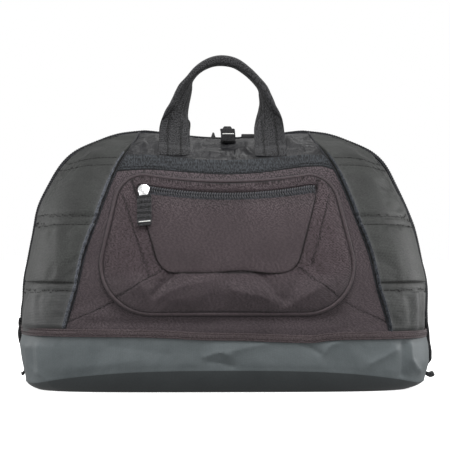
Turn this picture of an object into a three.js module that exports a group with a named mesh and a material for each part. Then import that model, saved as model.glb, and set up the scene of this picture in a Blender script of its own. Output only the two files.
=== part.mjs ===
// A soft helmet and gear bag, standing closed: a coated tub at the foot, a domed body of cloth
// panels with a quilted wing on each side, a zip over the arch from side to side, a piped pocket
// on the front and one webbing carry handle.
// Millimetres, +Z up. The origin is on the floor under the middle of the bag, the front is -Y.
import * as THREE from "three";
import { mergeVertices } from "three/addons/utils/BufferGeometryUtils.js";

// Cloth walls and the clear space between pieces
const CLOTH = 2;
const PADDED_WALL = 2.5;
const SEAM_GAP = 0.5;
const TUB_WALL = 2;

// Heights of the horizontal seams
const TUB_TOP = 57;
const PANEL_FOOT = 57.4;
const TRIM_FOOT = 52;
const TRIM_TOP = 60;
const YOKE_FOOT = 228;
const YOKE_TOP = 244;
const WING_TIP = 269;
const CREST_LEVELS = [240, 246, 251, 255, 258.5, 261.5, 264, 266.5, WING_TIP];

// The whole form, one row per level: half sizes of a rounded section and its squareness
const FORM = [
  { z: 0, halfWidth: 207, halfDepth: 133, power: 3.8 },
  { z: 22, halfWidth: 211.5, halfDepth: 136, power: 3.8 },
  { z: 56, halfWidth: 215.5, halfDepth: 137, power: 3.6 },
  { z: 101, halfWidth: 215.5, halfDepth: 134, power: 3.2 },
  { z: 140, halfWidth: 209.5, halfDepth: 127, power: 3.0 },
  { z: 179, halfWidth: 200.5, halfDepth: 115, power: 2.8 },
  { z: 217, halfWidth: 184.5, halfDepth: 95, power: 2.6 },
  { z: 236, halfWidth: 173.5, halfDepth: 79, power: 2.5 },
  { z: 249, halfWidth: 160, halfDepth: 63, power: 2.4 },
  { z: 262, halfWidth: 132, halfDepth: 40, power: 2.4 },
  { z: 269, halfWidth: 110, halfDepth: 21, power: 2.4 },
  { z: 272, halfWidth: 85, halfDepth: 0, power: 2.4 },
];
const FORM_TOP = 272;

// The slack of the cloth between the handle legs
const DIP = { depth: 7.5, reach: 85, from: 205, full: 262 };

// The seam between the middle panels and the wings
const SEAM = [
  { z: 50, x: 169 },
  { z: 60, x: 167 },
  { z: 105, x: 154 },
  { z: 141, x: 146 },
  { z: 174, x: 134.5 },
  { z: 228, x: 113.7 },
  { z: 262, x: 94 },
  { z: 269, x: 91 },
];

// The tub: the flat foot it stands on, the arched crease above it and the soft dents of its skin
const FOOT = { halfWidth: 196, halfDepth: 113, power: 3.6 };
const CREASE = { low: 10, rise: 13, reach: 200 };
const TUB_DENTS = [
  { x: -10, z: 36, wide: 26, tall: 9, depth: 1.8 },
  { x: 60, z: 38, wide: 34, tall: 10, depth: 1.6 },
  { x: -95, z: 34, wide: 40, tall: 11, depth: 1.4 },
  { x: 160, z: 33, wide: 18, tall: 13, depth: 2.4 },
  { x: 130, z: 30, wide: 20, tall: 10, depth: 1.5 },
];

// The wings: padding and the stitched lines that hold it down
const PAD = 5.5;
const PAD_FADE = { from: 0.2, to: 0.75 };
const QUILT_REACH = 7;
const QUILTS = [
  { z: 105, hold: 0.85 },
  { z: 176, hold: 0.85 },
  { z: 233, hold: 0.35 },
];

// The zip over the arch
const ZIP_EDGE = 12;
const TAPE_HALF = 18;
const TAPE_UNDER = -3.65;
const TAPE_THICK = 0.8;
const COIL_HALF = 3.2;
const COIL_UNDER = -2.9;
const COIL_OVER = 1;
const SLIDER = { wide: 10, deep: 9 };
const SLIDERS = { right: { x: 4, tall: 8.8 }, left: { x: -11, tall: 4.5 } };

// The pull on the right slider, falling forward
const PULL_WIDE = 15.5;
const PULL_THICK = 2.4;
const PULL_PATH = [
  { y: -1, z: 275.6 },
  { y: -9, z: 275.2 },
  { y: -17, z: 271.4 },
  { y: -27, z: 265.2 },
  { y: -37, z: 258.6 },
];

// The tabs that close the two ends of the zip
const TAB_HALF = 11;
const TAB_THICK = 1.6;
const TAB_DROP = [
  { z: 72, left: 2.7, right: 2.7 },
  { z: 48, left: 2.7, right: 2.7 },
  { z: 34, left: 2.6, right: 2.8 },
  { z: 24, left: 3.4, right: 4.6 },
  { z: 14, left: 5.2, right: 8.6 },
];

// The front pocket: rounded loops of the piping and of the opening in the pocket front
const POCKET_BULGE = 9;
const POCKET_SAG = { depth: 5.5, reach: 85, from: 185, full: 215 };
const PIPING_RADIUS = 2.3;
const PIPING_LIFT = 0.9;
const PIPING_CORNERS = [
  { x: 108.5, z: 221, radius: 31 },
  { x: 141, z: 80.5, radius: 49.5 },
];
const WINDOW_CORNERS = [
  { x: 97, z: 211, radius: 4 },
  { x: 67, z: 121, radius: 22 },
];
const TONGUE_CORNERS = [
  { x: 95, z: 202.4, radius: 4 },
  { x: 70, z: 118, radius: 22 },
];
const POCKET_MIDDLE = 165;
const POCKET_FOOT_LIFT = 0.9;
const POCKET_EDGE_LIFT = 3.2;
const TONGUE_LIFT = 1.1;
const TONGUE_WALL = 1.2;
const POCKET_ZIP = { half: 91, low: 203, high: 212.5, lift: 0.9, thick: 0.8 };
const POCKET_COIL = { low: 205.8, high: 209.2, lift: 2, thick: 1.4 };
const POCKET_SLIDER = { x: -84.5, z: 205, wide: 9, tall: 7.6, lift: 4.1, thick: 3 };
const POCKET_TAB = { x: -84.5, z: 205, knob: 6, neck: 4.6, foot: -7.4, lift: 7.5, thick: 2 };
const POCKET_PULL = { x: -84, wide: 15, thick: 2.4, top: 197.1, foot: 168, topLift: 8.6, footLift: 7.8 };

// Soft folds pressed into the pocket front
const FOLDS = [
  { x: 44, z: 94, long: 58, wide: 12, turn: 157, height: 1.9 },
  { x: 83, z: 91, long: 32, wide: 12, turn: 35, height: 1.9 },
  { x: -68, z: 110, long: 34, wide: 14, turn: 53, height: -2.2 },
  { x: -62, z: 93, long: 44, wide: 12, turn: -14, height: 1.6 },
  { x: 66, z: 112, long: 30, wide: 14, turn: 115, height: -2 },
  { x: -12, z: 108, long: 120, wide: 26, turn: 0, height: 1.8 },
];

// The handle: two feet sewn to the top panel, then the free strap from left to right
const HANDLE_LIFT = 1;
const HANDLE_FEET = { left: -53, right: 47.5, wide: 33, thick: 2.4, levels: [246.5, 252, 257.5] };
const HANDLE = [
  { x: -53, y: -38.5, z: 270, width: 32.6, thick: 2.6, twist: 8 },
  { x: -51.5, y: -33.5, z: 285, width: 31, thick: 3.2, twist: 33 },
  { x: -47, y: -30.5, z: 301, width: 27, thick: 6, twist: 56 },
  { x: -41.5, y: -29, z: 318, width: 23, thick: 8.5, twist: 75 },
  { x: -31, y: -28.5, z: 332.5, width: 20, thick: 9.5, twist: 86 },
  { x: -18, y: -28, z: 341.3, width: 20, thick: 10, twist: 90 },
  { x: -3, y: -28, z: 345.3, width: 20, thick: 11, twist: 90 },
  { x: 13, y: -28, z: 340, width: 20, thick: 11, twist: 90 },
  { x: 26.5, y: -28.5, z: 330.5, width: 20, thick: 11, twist: 92 },
  { x: 36.5, y: -29, z: 318, width: 21, thick: 10, twist: 98 },
  { x: 43, y: -30.5, z: 301, width: 24, thick: 7, twist: 118 },
  { x: 45, y: -33.5, z: 285, width: 29, thick: 3.4, twist: 144 },
  { x: 46.5, y: -38.5, z: 270, width: 32, thick: 2.6, twist: 172 },
];

// How finely each piece is divided
const TUB_COLUMNS = 52;
const PANEL_COLUMNS = 16;
const WING_COLUMNS = 7;
const BACK_COLUMNS = 20;
const ARCH_STATIONS = 52;
const LOOP_STATIONS = 48;
const HANDLE_STATIONS = 40;

// Numbers and curves
const { clamp, lerp, smoothstep, degToRad } = THREE.MathUtils;

function spread(from, to, count) {
  return Array.from({ length: count + 1 }, (_, i) => lerp(from, to, i / count));
}

function columnCurve(rows, from, to) {
  const xs = rows.map((row) => row[from]);
  const ys = rows.map((row) => row[to]);
  const steps = xs.slice(1).map((x, i) => (ys[i + 1] - ys[i]) / (x - xs[i]));
  const slopes = ys.map((_, i) => {
    const before = steps[Math.max(i - 1, 0)];
    const after = steps[Math.min(i, steps.length - 1)];
    return before * after <= 0 ? 0 : (2 * before * after) / (before + after);
  });
  return (x) => {
    const at = clamp(x, xs[0], xs[xs.length - 1]);
    let i = 0;
    while (i < steps.length - 1 && at > xs[i + 1]) i += 1;
    const width = xs[i + 1] - xs[i];
    const t = (at - xs[i]) / width;
    const start = ys[i] + t * t * (3 - 2 * t) * (ys[i + 1] - ys[i]);
    return start + width * t * (1 - t) * (slopes[i] * (1 - t) - slopes[i + 1] * t);
  };
}

// The form and its levels
const halfWidthAt = columnCurve(FORM, "z", "halfWidth");
const halfDepthAt = columnCurve(FORM, "z", "halfDepth");
const powerAt = columnCurve(FORM, "z", "power");
const seamAt = columnCurve(SEAM, "z", "x");

function remainder(share, power) {
  return Math.max(1 - Math.abs(share) ** power, 0) ** (1 / power);
}

function frontDepth(x, z) {
  return -halfDepthAt(z) * remainder(x / halfWidthAt(z), powerAt(z));
}

function fullness(x, y, z) {
  const power = powerAt(z);
  const across = (Math.abs(x) / halfWidthAt(z)) ** power;
  return across + (Math.abs(y) / Math.max(halfDepthAt(z), 0.01)) ** power;
}

function formHeight(x, y) {
  let low = PANEL_FOOT;
  let high = FORM_TOP;
  for (let i = 0; i < 40; i += 1) {
    const middle = (low + high) / 2;
    if (fullness(x, y, middle) < 1) low = middle;
    else high = middle;
  }
  return low;
}

function formNormal(x, y, z) {
  const step = 0.4;
  if (z > 255) {
    const dx = formHeight(x + step, y) - formHeight(x - step, y);
    const dy = formHeight(x, y + step) - formHeight(x, y - step);
    return new THREE.Vector3(-dx, -dy, 2 * step).normalize();
  }
  return new THREE.Vector3(
    fullness(x + step, y, z) - fullness(x - step, y, z),
    fullness(x, y + step, z) - fullness(x, y - step, z),
    fullness(x, y, z + step) - fullness(x, y, z - step),
  ).normalize();
}

function settle(point) {
  const slack = remainder(Math.min(Math.abs(point.x) / DIP.reach, 1), 2) ** 3;
  point.z -= DIP.depth * slack * smoothstep(point.z, DIP.from, DIP.full);
  return point;
}

function lay(x, y, z, height) {
  const point = new THREE.Vector3(x, y, z);
  return settle(point.addScaledVector(formNormal(x, y, z), height));
}

// The pocket swells the front, most in the middle and nothing at the piping
function bulge(x, z) {
  const [top, foot] = PIPING_CORNERS;
  const rise = (z - foot.z) / (top.z - foot.z);
  const half = lerp(foot.x, top.x, clamp(rise, 0, 1)) - 4;
  const across = clamp(1 - (x / half) ** 4, 0, 1);
  const along = clamp(1 - (2 * rise - 1) ** 4, 0, 1);
  return POCKET_BULGE * across * along;
}

function front(x, z, height) {
  const point = lay(x, frontDepth(x, z), z, height);
  point.y -= bulge(x, z);
  return point;
}

function pocketPoint(x, z, height) {
  const slack = clamp(1 - (x / POCKET_SAG.reach) ** 2, 0, 1);
  const sag = POCKET_SAG.depth * slack * smoothstep(z, POCKET_SAG.from, POCKET_SAG.full);
  return front(x, z - sag, height);
}

function quarterRun(section) {
  let run = 0;
  const points = [];
  for (let i = 0; i <= 96; i += 1) {
    const turn = (i / 96) * (Math.PI / 2);
    const x = section.halfWidth * Math.sin(turn) ** (2 / section.power);
    const y = section.halfDepth * Math.max(Math.cos(turn), 0) ** (2 / section.power);
    if (i > 0) run += Math.hypot(x - points[i - 1].x, y - points[i - 1].y);
    points.push({ x, y, run });
  }
  return points;
}

function sectionAt(z) {
  return { halfWidth: halfWidthAt(z), halfDepth: halfDepthAt(z), power: powerAt(z) };
}

function along(points, key, value) {
  let i = 1;
  const rising = points[points.length - 1][key] > points[0][key];
  while (i < points.length - 1 && (points[i][key] < value) === rising) i += 1;
  const before = points[i - 1];
  const after = points[i];
  const t = clamp((value - before[key]) / (after[key] - before[key]), 0, 1);
  const mix = Object.keys(before).map((name) => [name, lerp(before[name], after[name], t)]);
  return Object.fromEntries(mix);
}

function ovalPoint(section, share) {
  const points = quarterRun(section);
  const total = points[points.length - 1].run;
  const place = share * 4;
  const quadrant = Math.floor(place) % 4;
  const part = place - Math.floor(place);
  const { x, y } = along(points, "run", total * (quadrant % 2 === 0 ? part : 1 - part));
  return { x: quadrant < 2 ? x : -x, y: quadrant === 1 || quadrant === 2 ? y : -y };
}

// Lines of the arch at one distance in front of or behind the zip
function archLine(y, lowest) {
  const half = [];
  for (const z of spread(lowest, FORM_TOP, 600)) {
    const share = Math.abs(y) / Math.max(halfDepthAt(z), 0.01);
    if (share < 1) half.push({ x: halfWidthAt(z) * remainder(share, powerAt(z)), z });
  }
  half.push({ x: 0, z: half[half.length - 1].z });
  const whole = [...half.map(({ x, z }) => ({ x: -x, z })), ...half.slice(0, -1).reverse()];
  let run = 0;
  const line = whole.map((point, i) => {
    if (i > 0) run += Math.hypot(point.x - whole[i - 1].x, point.z - whole[i - 1].z);
    return { ...point, run };
  });
  return (share) => along(line, "run", share * run);
}

// Closed solids from grids and rings of points
function solidFrom(corners, faces) {
  const loose = new THREE.BufferGeometry().setFromPoints(corners);
  loose.setIndex(faces.flat());
  const geometry = mergeVertices(loose, 1e-4);
  const index = geometry.index.array;
  const kept = [];
  for (let i = 0; i < index.length; i += 3) {
    const [a, b, c] = [index[i], index[i + 1], index[i + 2]];
    if (a !== b && b !== c && c !== a) kept.push([a, b, c]);
  }
  const at = (k) => new THREE.Vector3().fromBufferAttribute(geometry.attributes.position, k);
  const volume = kept.reduce((sum, [a, b, c]) => sum + at(a).dot(at(b).cross(at(c))), 0);
  const outward = volume < 0 ? kept.map(([a, b, c]) => [a, c, b]) : kept;
  geometry.setIndex(outward.flat());
  geometry.computeVertexNormals();
  return geometry;
}

function shellGeometry(outer, inner, { wrap = false, capped = false } = {}) {
  const rows = outer.length;
  const columns = outer[0].length;
  const spans = wrap ? columns : columns - 1;
  const out = (r, c) => r * columns + (c % columns);
  const back = (r, c) => rows * columns + out(r, c);
  const faces = [];
  const quad = (a, b, c, d) => faces.push([a, b, c], [a, c, d]);
  for (let r = 0; r < rows - 1; r += 1) {
    for (let c = 0; c < spans; c += 1) {
      quad(out(r, c), out(r, c + 1), out(r + 1, c + 1), out(r + 1, c));
      quad(back(r, c), back(r + 1, c), back(r + 1, c + 1), back(r, c + 1));
    }
  }
  const last = rows - 1;
  for (let c = 0; c < spans; c += 1) {
    quad(out(0, c + 1), out(0, c), back(0, c), back(0, c + 1));
    if (!capped) quad(out(last, c), out(last, c + 1), back(last, c + 1), back(last, c));
  }
  const end = columns - 1;
  for (let r = 0; r < last && !wrap; r += 1) {
    quad(out(r, 0), out(r + 1, 0), back(r + 1, 0), back(r, 0));
    quad(out(r + 1, end), out(r, end), back(r, end), back(r + 1, end));
  }
  return solidFrom([...outer.flat(), ...inner.flat()], faces);
}

function sweepGeometry(rings, closed = false) {
  const sides = rings[0].length;
  const at = (r, s) => (r % rings.length) * sides + (s % sides);
  const spans = closed ? rings.length : rings.length - 1;
  const faces = [];
  for (let r = 0; r < spans; r += 1) {
    for (let s = 0; s < sides; s += 1) {
      faces.push([at(r, s), at(r, s + 1), at(r + 1, s + 1)]);
      faces.push([at(r, s), at(r + 1, s + 1), at(r + 1, s)]);
    }
  }
  const last = rings.length - 1;
  for (let s = 1; s < sides - 1 && !closed; s += 1) {
    faces.push([at(0, 0), at(0, s + 1), at(0, s)]);
    faces.push([at(last, 0), at(last, s), at(last, s + 1)]);
  }
  return solidFrom(rings.flat(), faces);
}

function strapRing(center, side, thickAxis, width, thick) {
  const corner = Math.min(thick * 0.35, width * 0.2);
  const w = width / 2;
  const t = thick / 2;
  const outline = [
    [w - corner, -t],
    [w, -t + corner],
    [w, t - corner],
    [w - corner, t],
    [-w + corner, t],
    [-w, t - corner],
    [-w, -t + corner],
    [-w + corner, -t],
  ];
  return outline.map(([a, b]) => center.clone().addScaledVector(side, a).addScaledVector(thickAxis, b));
}

// Rounded loops in the plane of the front, one corner table for both sides
function roundedLoop(corners) {
  const right = corners.map(({ x, z, radius }) => ({ x, z, radius }));
  const left = corners.map(({ x, z, radius }) => ({ x: -x, z, radius })).reverse();
  const all = [...right, ...left].map(({ x, z, radius }) => ({ at: new THREE.Vector2(x, z), radius }));
  const path = new THREE.Path();
  all.forEach(({ at, radius }, i) => {
    const before = all[(i + all.length - 1) % all.length].at.clone().sub(at).normalize();
    const after = all[(i + 1) % all.length].at.clone().sub(at).normalize();
    const half = Math.acos(clamp(before.dot(after), -1, 1)) / 2;
    const middle = before.clone().add(after).normalize().multiplyScalar(radius / Math.sin(half)).add(at);
    const reach = radius / Math.tan(half);
    const start = before.multiplyScalar(reach).add(at).sub(middle).angle();
    const stop = after.multiplyScalar(reach).add(at).sub(middle).angle();
    path.absarc(middle.x, middle.y, radius, start, stop, true);
  });
  path.closePath();
  return path.getSpacedPoints(240).slice(0, -1);
}

function turnsThrough(corners, count) {
  const whole = 2 * Math.PI;
  const sharp = corners.flatMap(({ x, z }) => {
    const right = Math.atan2(z - POCKET_MIDDLE, x);
    return [(right + whole) % whole, (Math.PI - right + whole) % whole];
  });
  const even = spread(0, whole, count).slice(0, -1);
  const plain = even.filter((turn) => sharp.every((corner) => Math.abs(corner - turn) > whole / count / 3));
  return [...plain, ...sharp].sort((a, b) => a - b);
}

function loopRay(loop, turn, inset = 0) {
  const middle = new THREE.Vector2(0, POCKET_MIDDLE);
  const direction = new THREE.Vector2(Math.cos(turn), Math.sin(turn));
  for (let i = 0; i < loop.length; i += 1) {
    const a = loop[i].clone().sub(middle);
    const b = loop[(i + 1) % loop.length].clone().sub(middle);
    const crossA = direction.cross(a);
    const crossB = direction.cross(b);
    const hit = a.clone().lerp(b, crossA / (crossA - crossB));
    if (crossA * crossB <= 0 && hit.dot(direction) > 0) {
      const edge = b.clone().sub(a).normalize();
      const slant = Math.max(Math.abs(edge.cross(direction)), 0.3);
      return hit.addScaledVector(direction, -inset / slant).add(middle);
    }
  }
  return middle;
}

function foldHeight(x, z) {
  return FOLDS.reduce((sum, fold) => {
    const turn = degToRad(fold.turn);
    const ahead = (x - fold.x) * Math.cos(turn) + (z - fold.z) * Math.sin(turn);
    const aside = (z - fold.z) * Math.cos(turn) - (x - fold.x) * Math.sin(turn);
    return sum + fold.height * Math.exp(-4 * (ahead / fold.long) ** 2 - 4 * (aside / fold.wide) ** 2);
  }, 0);
}

// Materials
const cloth = (color, roughness) => new THREE.MeshStandardMaterial({ color, roughness });
const MATERIALS = {
  polyester: cloth("#463f40", 0.85),
  packCloth: cloth("#3f4140", 0.7),
  sheen: cloth("#38393b", 0.6),
  tarpaulin: cloth("#596065", 0.5),
  webbing: cloth("#353536", 0.85),
  nylon: cloth("#232425", 0.6),
  metal: new THREE.MeshStandardMaterial({ color: "#d9dadb", roughness: 0.25, metalness: 1 }),
};

const bag = new THREE.Group();
bag.name = "gear_bag";

function add(name, geometry, material) {
  const mesh = new THREE.Mesh(geometry, material);
  mesh.name = name;
  bag.add(mesh);
}

// Base tub: from its rim down the wall, over the crease and under the foot to the middle
function tubDent(x, y, z) {
  if (y > 0) return 0;
  return TUB_DENTS.reduce((sum, dent) => {
    const reach = ((x - dent.x) / dent.wide) ** 2 + ((z - dent.z) / dent.tall) ** 2;
    return sum - dent.depth * Math.exp(-reach);
  }, 0);
}

function tubRows(depth) {
  const shares = spread(0, 1, TUB_COLUMNS).slice(0, -1);
  const wall = [1, 0.8, 0.55, 0.3, 0].map((rise) =>
    shares.map((share) => {
      const bottom = ovalPoint(sectionAt(20), share);
      const reach = Math.min(Math.abs(bottom.x) / CREASE.reach, 1);
      const crease = CREASE.low + CREASE.rise * (1 - reach ** 3);
      const z = lerp(crease, TUB_TOP, rise);
      const { x, y } = ovalPoint(sectionAt(z), share);
      return lay(x, y, z, tubDent(x, y, z) * (1 - rise) - depth);
    }),
  );
  const floor = [1, 0].map((size) =>
    shares.map((share) => {
      const { x, y } = ovalPoint(FOOT, share);
      const reach = size * (1 - depth / 120);
      return new THREE.Vector3(x * reach, y * reach, depth);
    }),
  );
  return [...wall, ...floor];
}
const tubGeometry = shellGeometry(tubRows(0), tubRows(TUB_WALL), { wrap: true, capped: true });
add("base_tub", tubGeometry, MATERIALS.tarpaulin);

// Trim tape round the joint of tub and panels
function trimRows(height) {
  const shares = spread(0, 1, TUB_COLUMNS).slice(0, -1);
  return [TRIM_FOOT, TRIM_TOP].map((z) =>
    shares.map((share) => {
      const { x, y } = ovalPoint(sectionAt(z), share);
      return lay(x, y, z, height);
    }),
  );
}
add("base_trim", shellGeometry(trimRows(2.2), trimRows(1), { wrap: true }), MATERIALS.polyester);

// Middle panels of the front
function frontRows(levels, height) {
  return levels.map((z) => {
    const half = seamAt(z) - SEAM_GAP / 2;
    return spread(-half, half, PANEL_COLUMNS).map((x) => front(x, z, height));
  });
}

function frontPanel(levels) {
  return shellGeometry(frontRows(levels, 0), frontRows(levels, -CLOTH));
}
const pocketLevels = spread(PIPING_CORNERS[1].z, PIPING_CORNERS[0].z, 11);
add("front_panel", frontPanel([PANEL_FOOT, 69, ...pocketLevels, YOKE_FOOT - 0.2]), MATERIALS.polyester);
add("yoke_band", frontPanel(spread(YOKE_FOOT + 0.2, YOKE_TOP - 0.2, 2)), MATERIALS.webbing);

function topRows(height) {
  return spread(0, 1, 6).map((share) => {
    const edgeLevel = lerp(YOKE_TOP + 0.2, WING_TIP, share);
    const edgeX = seamAt(edgeLevel) - SEAM_GAP / 2;
    const edgeY = frontDepth(edgeX, edgeLevel);
    const middleY = lerp(frontDepth(0, YOKE_TOP + 0.2), -ZIP_EDGE, share);
    return spread(-1, 1, PANEL_COLUMNS).map((across) => {
      const x = across * edgeX;
      const y = share === 0 ? frontDepth(x, edgeLevel) : lerp(middleY, edgeY, across ** 2);
      return lay(x, y, share === 0 ? edgeLevel : formHeight(x, y), height);
    });
  });
}
add("top_panel", shellGeometry(topRows(0), topRows(-CLOTH)), MATERIALS.sheen);

// Quilted wings
function wingPuff(across, z) {
  const swell = 1 - smoothstep(across, PAD_FADE.from, PAD_FADE.to);
  const ends = smoothstep(z, 61, 76) * (1 - smoothstep(z, 236, 264));
  const held = QUILTS.reduce((sum, quilt) => {
    return sum * (1 - quilt.hold * Math.exp(-(((z - quilt.z) / QUILT_REACH) ** 2)));
  }, 1);
  return PAD * swell * ends * held;
}

function wingLevels() {
  const even = spread(PANEL_FOOT, YOKE_FOOT, 11);
  const near = QUILTS.flatMap(({ z }) => [-9, -4, 0, 4].map((step) => z + step));
  const plain = even.filter((z) => near.every((level) => Math.abs(level - z) > 5));
  const crest = CREST_LEVELS.filter((z) => near.every((level) => Math.abs(level - z) > 2.5));
  return [...plain, ...near, ...crest, 62, 68].sort((a, b) => a - b);
}

function wingRows(hand, inside) {
  return wingLevels().map((z) => {
    const points = quarterRun(sectionAt(z));
    const start = along(points, "x", seamAt(z) + SEAM_GAP / 2).run;
    const stop = along(points, "y", ZIP_EDGE).run;
    return spread(0, 1, WING_COLUMNS).map((across) => {
      const { x, y } = along(points, "run", lerp(start, stop, across));
      return lay(hand * x, -y, z, inside ? -PADDED_WALL : wingPuff(across, z));
    });
  });
}
add("wing_left", shellGeometry(wingRows(-1, false), wingRows(-1, true)), MATERIALS.packCloth);
add("wing_right", shellGeometry(wingRows(1, false), wingRows(1, true)), MATERIALS.packCloth);

// Back shell, plain, up to the zip
function backRows(height) {
  const walls = [...spread(PANEL_FOOT, YOKE_FOOT, 9), ...CREST_LEVELS].map((z) => {
    const points = quarterRun(sectionAt(z));
    const stop = along(points, "y", ZIP_EDGE).run;
    return spread(-1, 1, BACK_COLUMNS).map((across) => {
      const { x, y } = along(points, "run", Math.abs(across) * stop);
      return lay(Math.sign(across) * x, y, z, height);
    });
  });
  const crest = spread(-94, 94, BACK_COLUMNS).map((x) => lay(x, ZIP_EDGE, formHeight(x, ZIP_EDGE), height));
  return [...walls, crest];
}
add("back_shell", shellGeometry(backRows(0), backRows(-PADDED_WALL)), MATERIALS.packCloth);

// The zip over the arch: tape under the panel edges, coil between them
function tapeRows(height) {
  const lines = spread(-TAPE_HALF, TAPE_HALF, 3).map((y) => ({ y, at: archLine(y, TRIM_FOOT) }));
  return spread(0, 1, ARCH_STATIONS).map((share) =>
    lines.map(({ y, at }) => {
      const { x, z } = at(share);
      return lay(x, y, z, height);
    }),
  );
}
const tapeGeometry = shellGeometry(tapeRows(TAPE_UNDER), tapeRows(TAPE_UNDER - TAPE_THICK));
add("main_zip_tape", tapeGeometry, MATERIALS.nylon);

const coilLine = archLine(COIL_HALF, TRIM_FOOT);
const coilRings = spread(0, 1, ARCH_STATIONS).slice(1, -1).map((share) => {
  const { x, z } = coilLine(share);
  return [
    lay(x, -COIL_HALF, z, COIL_UNDER),
    lay(x, COIL_HALF, z, COIL_UNDER),
    lay(x, COIL_HALF, z, COIL_OVER),
    lay(x, -COIL_HALF, z, COIL_OVER),
  ];
});
add("main_zip_coil", sweepGeometry(coilRings), MATERIALS.nylon);

function mainSlider({ x, tall }) {
  const block = new THREE.BoxGeometry(SLIDER.wide, SLIDER.deep, tall);
  const seat = lay(x, COIL_HALF, formHeight(x, COIL_HALF), COIL_OVER + 0.35);
  return block.translate(x, 0, seat.z + tall / 2);
}
add("main_zip_slider_right", mainSlider(SLIDERS.right), MATERIALS.metal);
add("main_zip_slider_left", mainSlider(SLIDERS.left), MATERIALS.metal);

function pathRings(centers, side, width, thick) {
  return centers.map((center, i) => {
    const ahead = centers[Math.min(i + 1, centers.length - 1)].clone();
    const tangent = ahead.sub(centers[Math.max(i - 1, 0)]).normalize();
    return strapRing(center, side, tangent.cross(side).normalize(), width, thick);
  });
}
const SIDEWAYS = new THREE.Vector3(1, 0, 0);
const pullPath = PULL_PATH.map(({ y, z }) => new THREE.Vector3(SLIDERS.right.x, y, z));
const pullRings = pathRings(pullPath, SIDEWAYS, PULL_WIDE, PULL_THICK);
add("main_zip_pull", sweepGeometry(pullRings), MATERIALS.webbing);

// Tabs over the two ends of the zip
function tabGeometry(hand, name) {
  const rows = (height) =>
    TAB_DROP.map((drop) =>
      spread(-TAB_HALF, TAB_HALF, 2).map((y) => {
        const x = halfWidthAt(drop.z) * remainder(y / halfDepthAt(drop.z), powerAt(drop.z));
        return lay(hand * x, y, drop.z, drop[name] + height);
      }),
    );
  return shellGeometry(rows(TAB_THICK), rows(0));
}
add("zip_end_tab_left", tabGeometry(-1, "left"), MATERIALS.webbing);
add("zip_end_tab_right", tabGeometry(1, "right"), MATERIALS.webbing);

// The pocket on the front: piping, pocket front round its opening, and the tongue in the opening
const pipingLoop = roundedLoop(PIPING_CORNERS);
const windowLoop = roundedLoop(WINDOW_CORNERS);
const tongueLoop = roundedLoop(TONGUE_CORNERS);
const pocketTurns = turnsThrough(WINDOW_CORNERS, LOOP_STATIONS);
const tongueTurns = turnsThrough(TONGUE_CORNERS, LOOP_STATIONS / 2);

const pipingRings = pocketTurns.map((turn) => {
  const edge = loopRay(pipingLoop, turn);
  const center = pocketPoint(edge.x, edge.y, PIPING_LIFT + PIPING_RADIUS);
  const ahead = loopRay(pipingLoop, turn + 0.01);
  const tangent = pocketPoint(ahead.x, ahead.y, PIPING_LIFT + PIPING_RADIUS).sub(center).normalize();
  const out = pocketPoint(edge.x, edge.y, PIPING_LIFT + PIPING_RADIUS + 1).sub(center).normalize();
  const aside = tangent.clone().cross(out).normalize();
  return spread(0, 2 * Math.PI, 6).slice(0, -1).map((roll) => {
    const spoke = out.clone().multiplyScalar(Math.cos(roll)).addScaledVector(aside, Math.sin(roll));
    return center.clone().addScaledVector(spoke, PIPING_RADIUS);
  });
});
add("pocket_piping", sweepGeometry(pipingRings, true), MATERIALS.polyester);

function pocketRows(height) {
  return spread(0, 1, 5).map((share) =>
    pocketTurns.map((turn) => {
      const outer = loopRay(pipingLoop, turn, PIPING_RADIUS + 0.6);
      const inner = loopRay(windowLoop, turn);
      const { x, y: z } = outer.lerp(inner, share);
      const lift = POCKET_FOOT_LIFT + POCKET_EDGE_LIFT * Math.sin((share * Math.PI) / 2);
      const fold = foldHeight(x, z) * Math.sin(share * Math.PI * 0.85);
      return pocketPoint(x, z, Math.max(lift + fold, POCKET_FOOT_LIFT) + height);
    }),
  );
}
add("pocket_front", shellGeometry(pocketRows(CLOTH), pocketRows(0), { wrap: true }), MATERIALS.polyester);

function tongueRows(height) {
  return [1, 0.8, 0.55, 0.28, 0].map((size) =>
    tongueTurns.map((turn) => {
      const edge = loopRay(tongueLoop, turn);
      return pocketPoint(edge.x * size, lerp(POCKET_MIDDLE, edge.y, size), TONGUE_LIFT + height);
    }),
  );
}
const tongueGeometry = shellGeometry(tongueRows(TONGUE_WALL), tongueRows(0), { wrap: true, capped: true });
add("pocket_tongue", tongueGeometry, MATERIALS.polyester);

function pocketStrip({ low, high, lift, thick }) {
  const across = spread(-POCKET_ZIP.half, POCKET_ZIP.half, PANEL_COLUMNS);
  const rows = (height) => [low, high].map((z) => across.map((x) => pocketPoint(x, z, lift + height)));
  return shellGeometry(rows(thick), rows(0));
}
add("pocket_zip_tape", pocketStrip(POCKET_ZIP), MATERIALS.nylon);
add("pocket_zip_coil", pocketStrip(POCKET_COIL), MATERIALS.nylon);

function plaque(shape, { x, z, lift, thick }) {
  const flat = { depth: thick, bevelEnabled: false, curveSegments: 6 };
  const geometry = new THREE.ExtrudeGeometry(shape, flat);
  const at = pocketPoint(x, z, lift);
  const out = pocketPoint(x, z, lift + 1).sub(at).normalize();
  const side = new THREE.Vector3(0, 0, 1).cross(out).normalize();
  const frame = new THREE.Matrix4().makeBasis(side, out.clone().cross(side), out).setPosition(at);
  return geometry.applyMatrix4(frame);
}

function boxShape(width, height) {
  const shape = new THREE.Shape();
  shape.moveTo(-width / 2, -height / 2);
  shape.lineTo(width / 2, -height / 2);
  shape.lineTo(width / 2, height / 2);
  shape.lineTo(-width / 2, height / 2);
  shape.closePath();
  return shape;
}
const sliderShape = boxShape(POCKET_SLIDER.wide, POCKET_SLIDER.tall);
add("pocket_zip_slider", plaque(sliderShape, POCKET_SLIDER), MATERIALS.metal);

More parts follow.
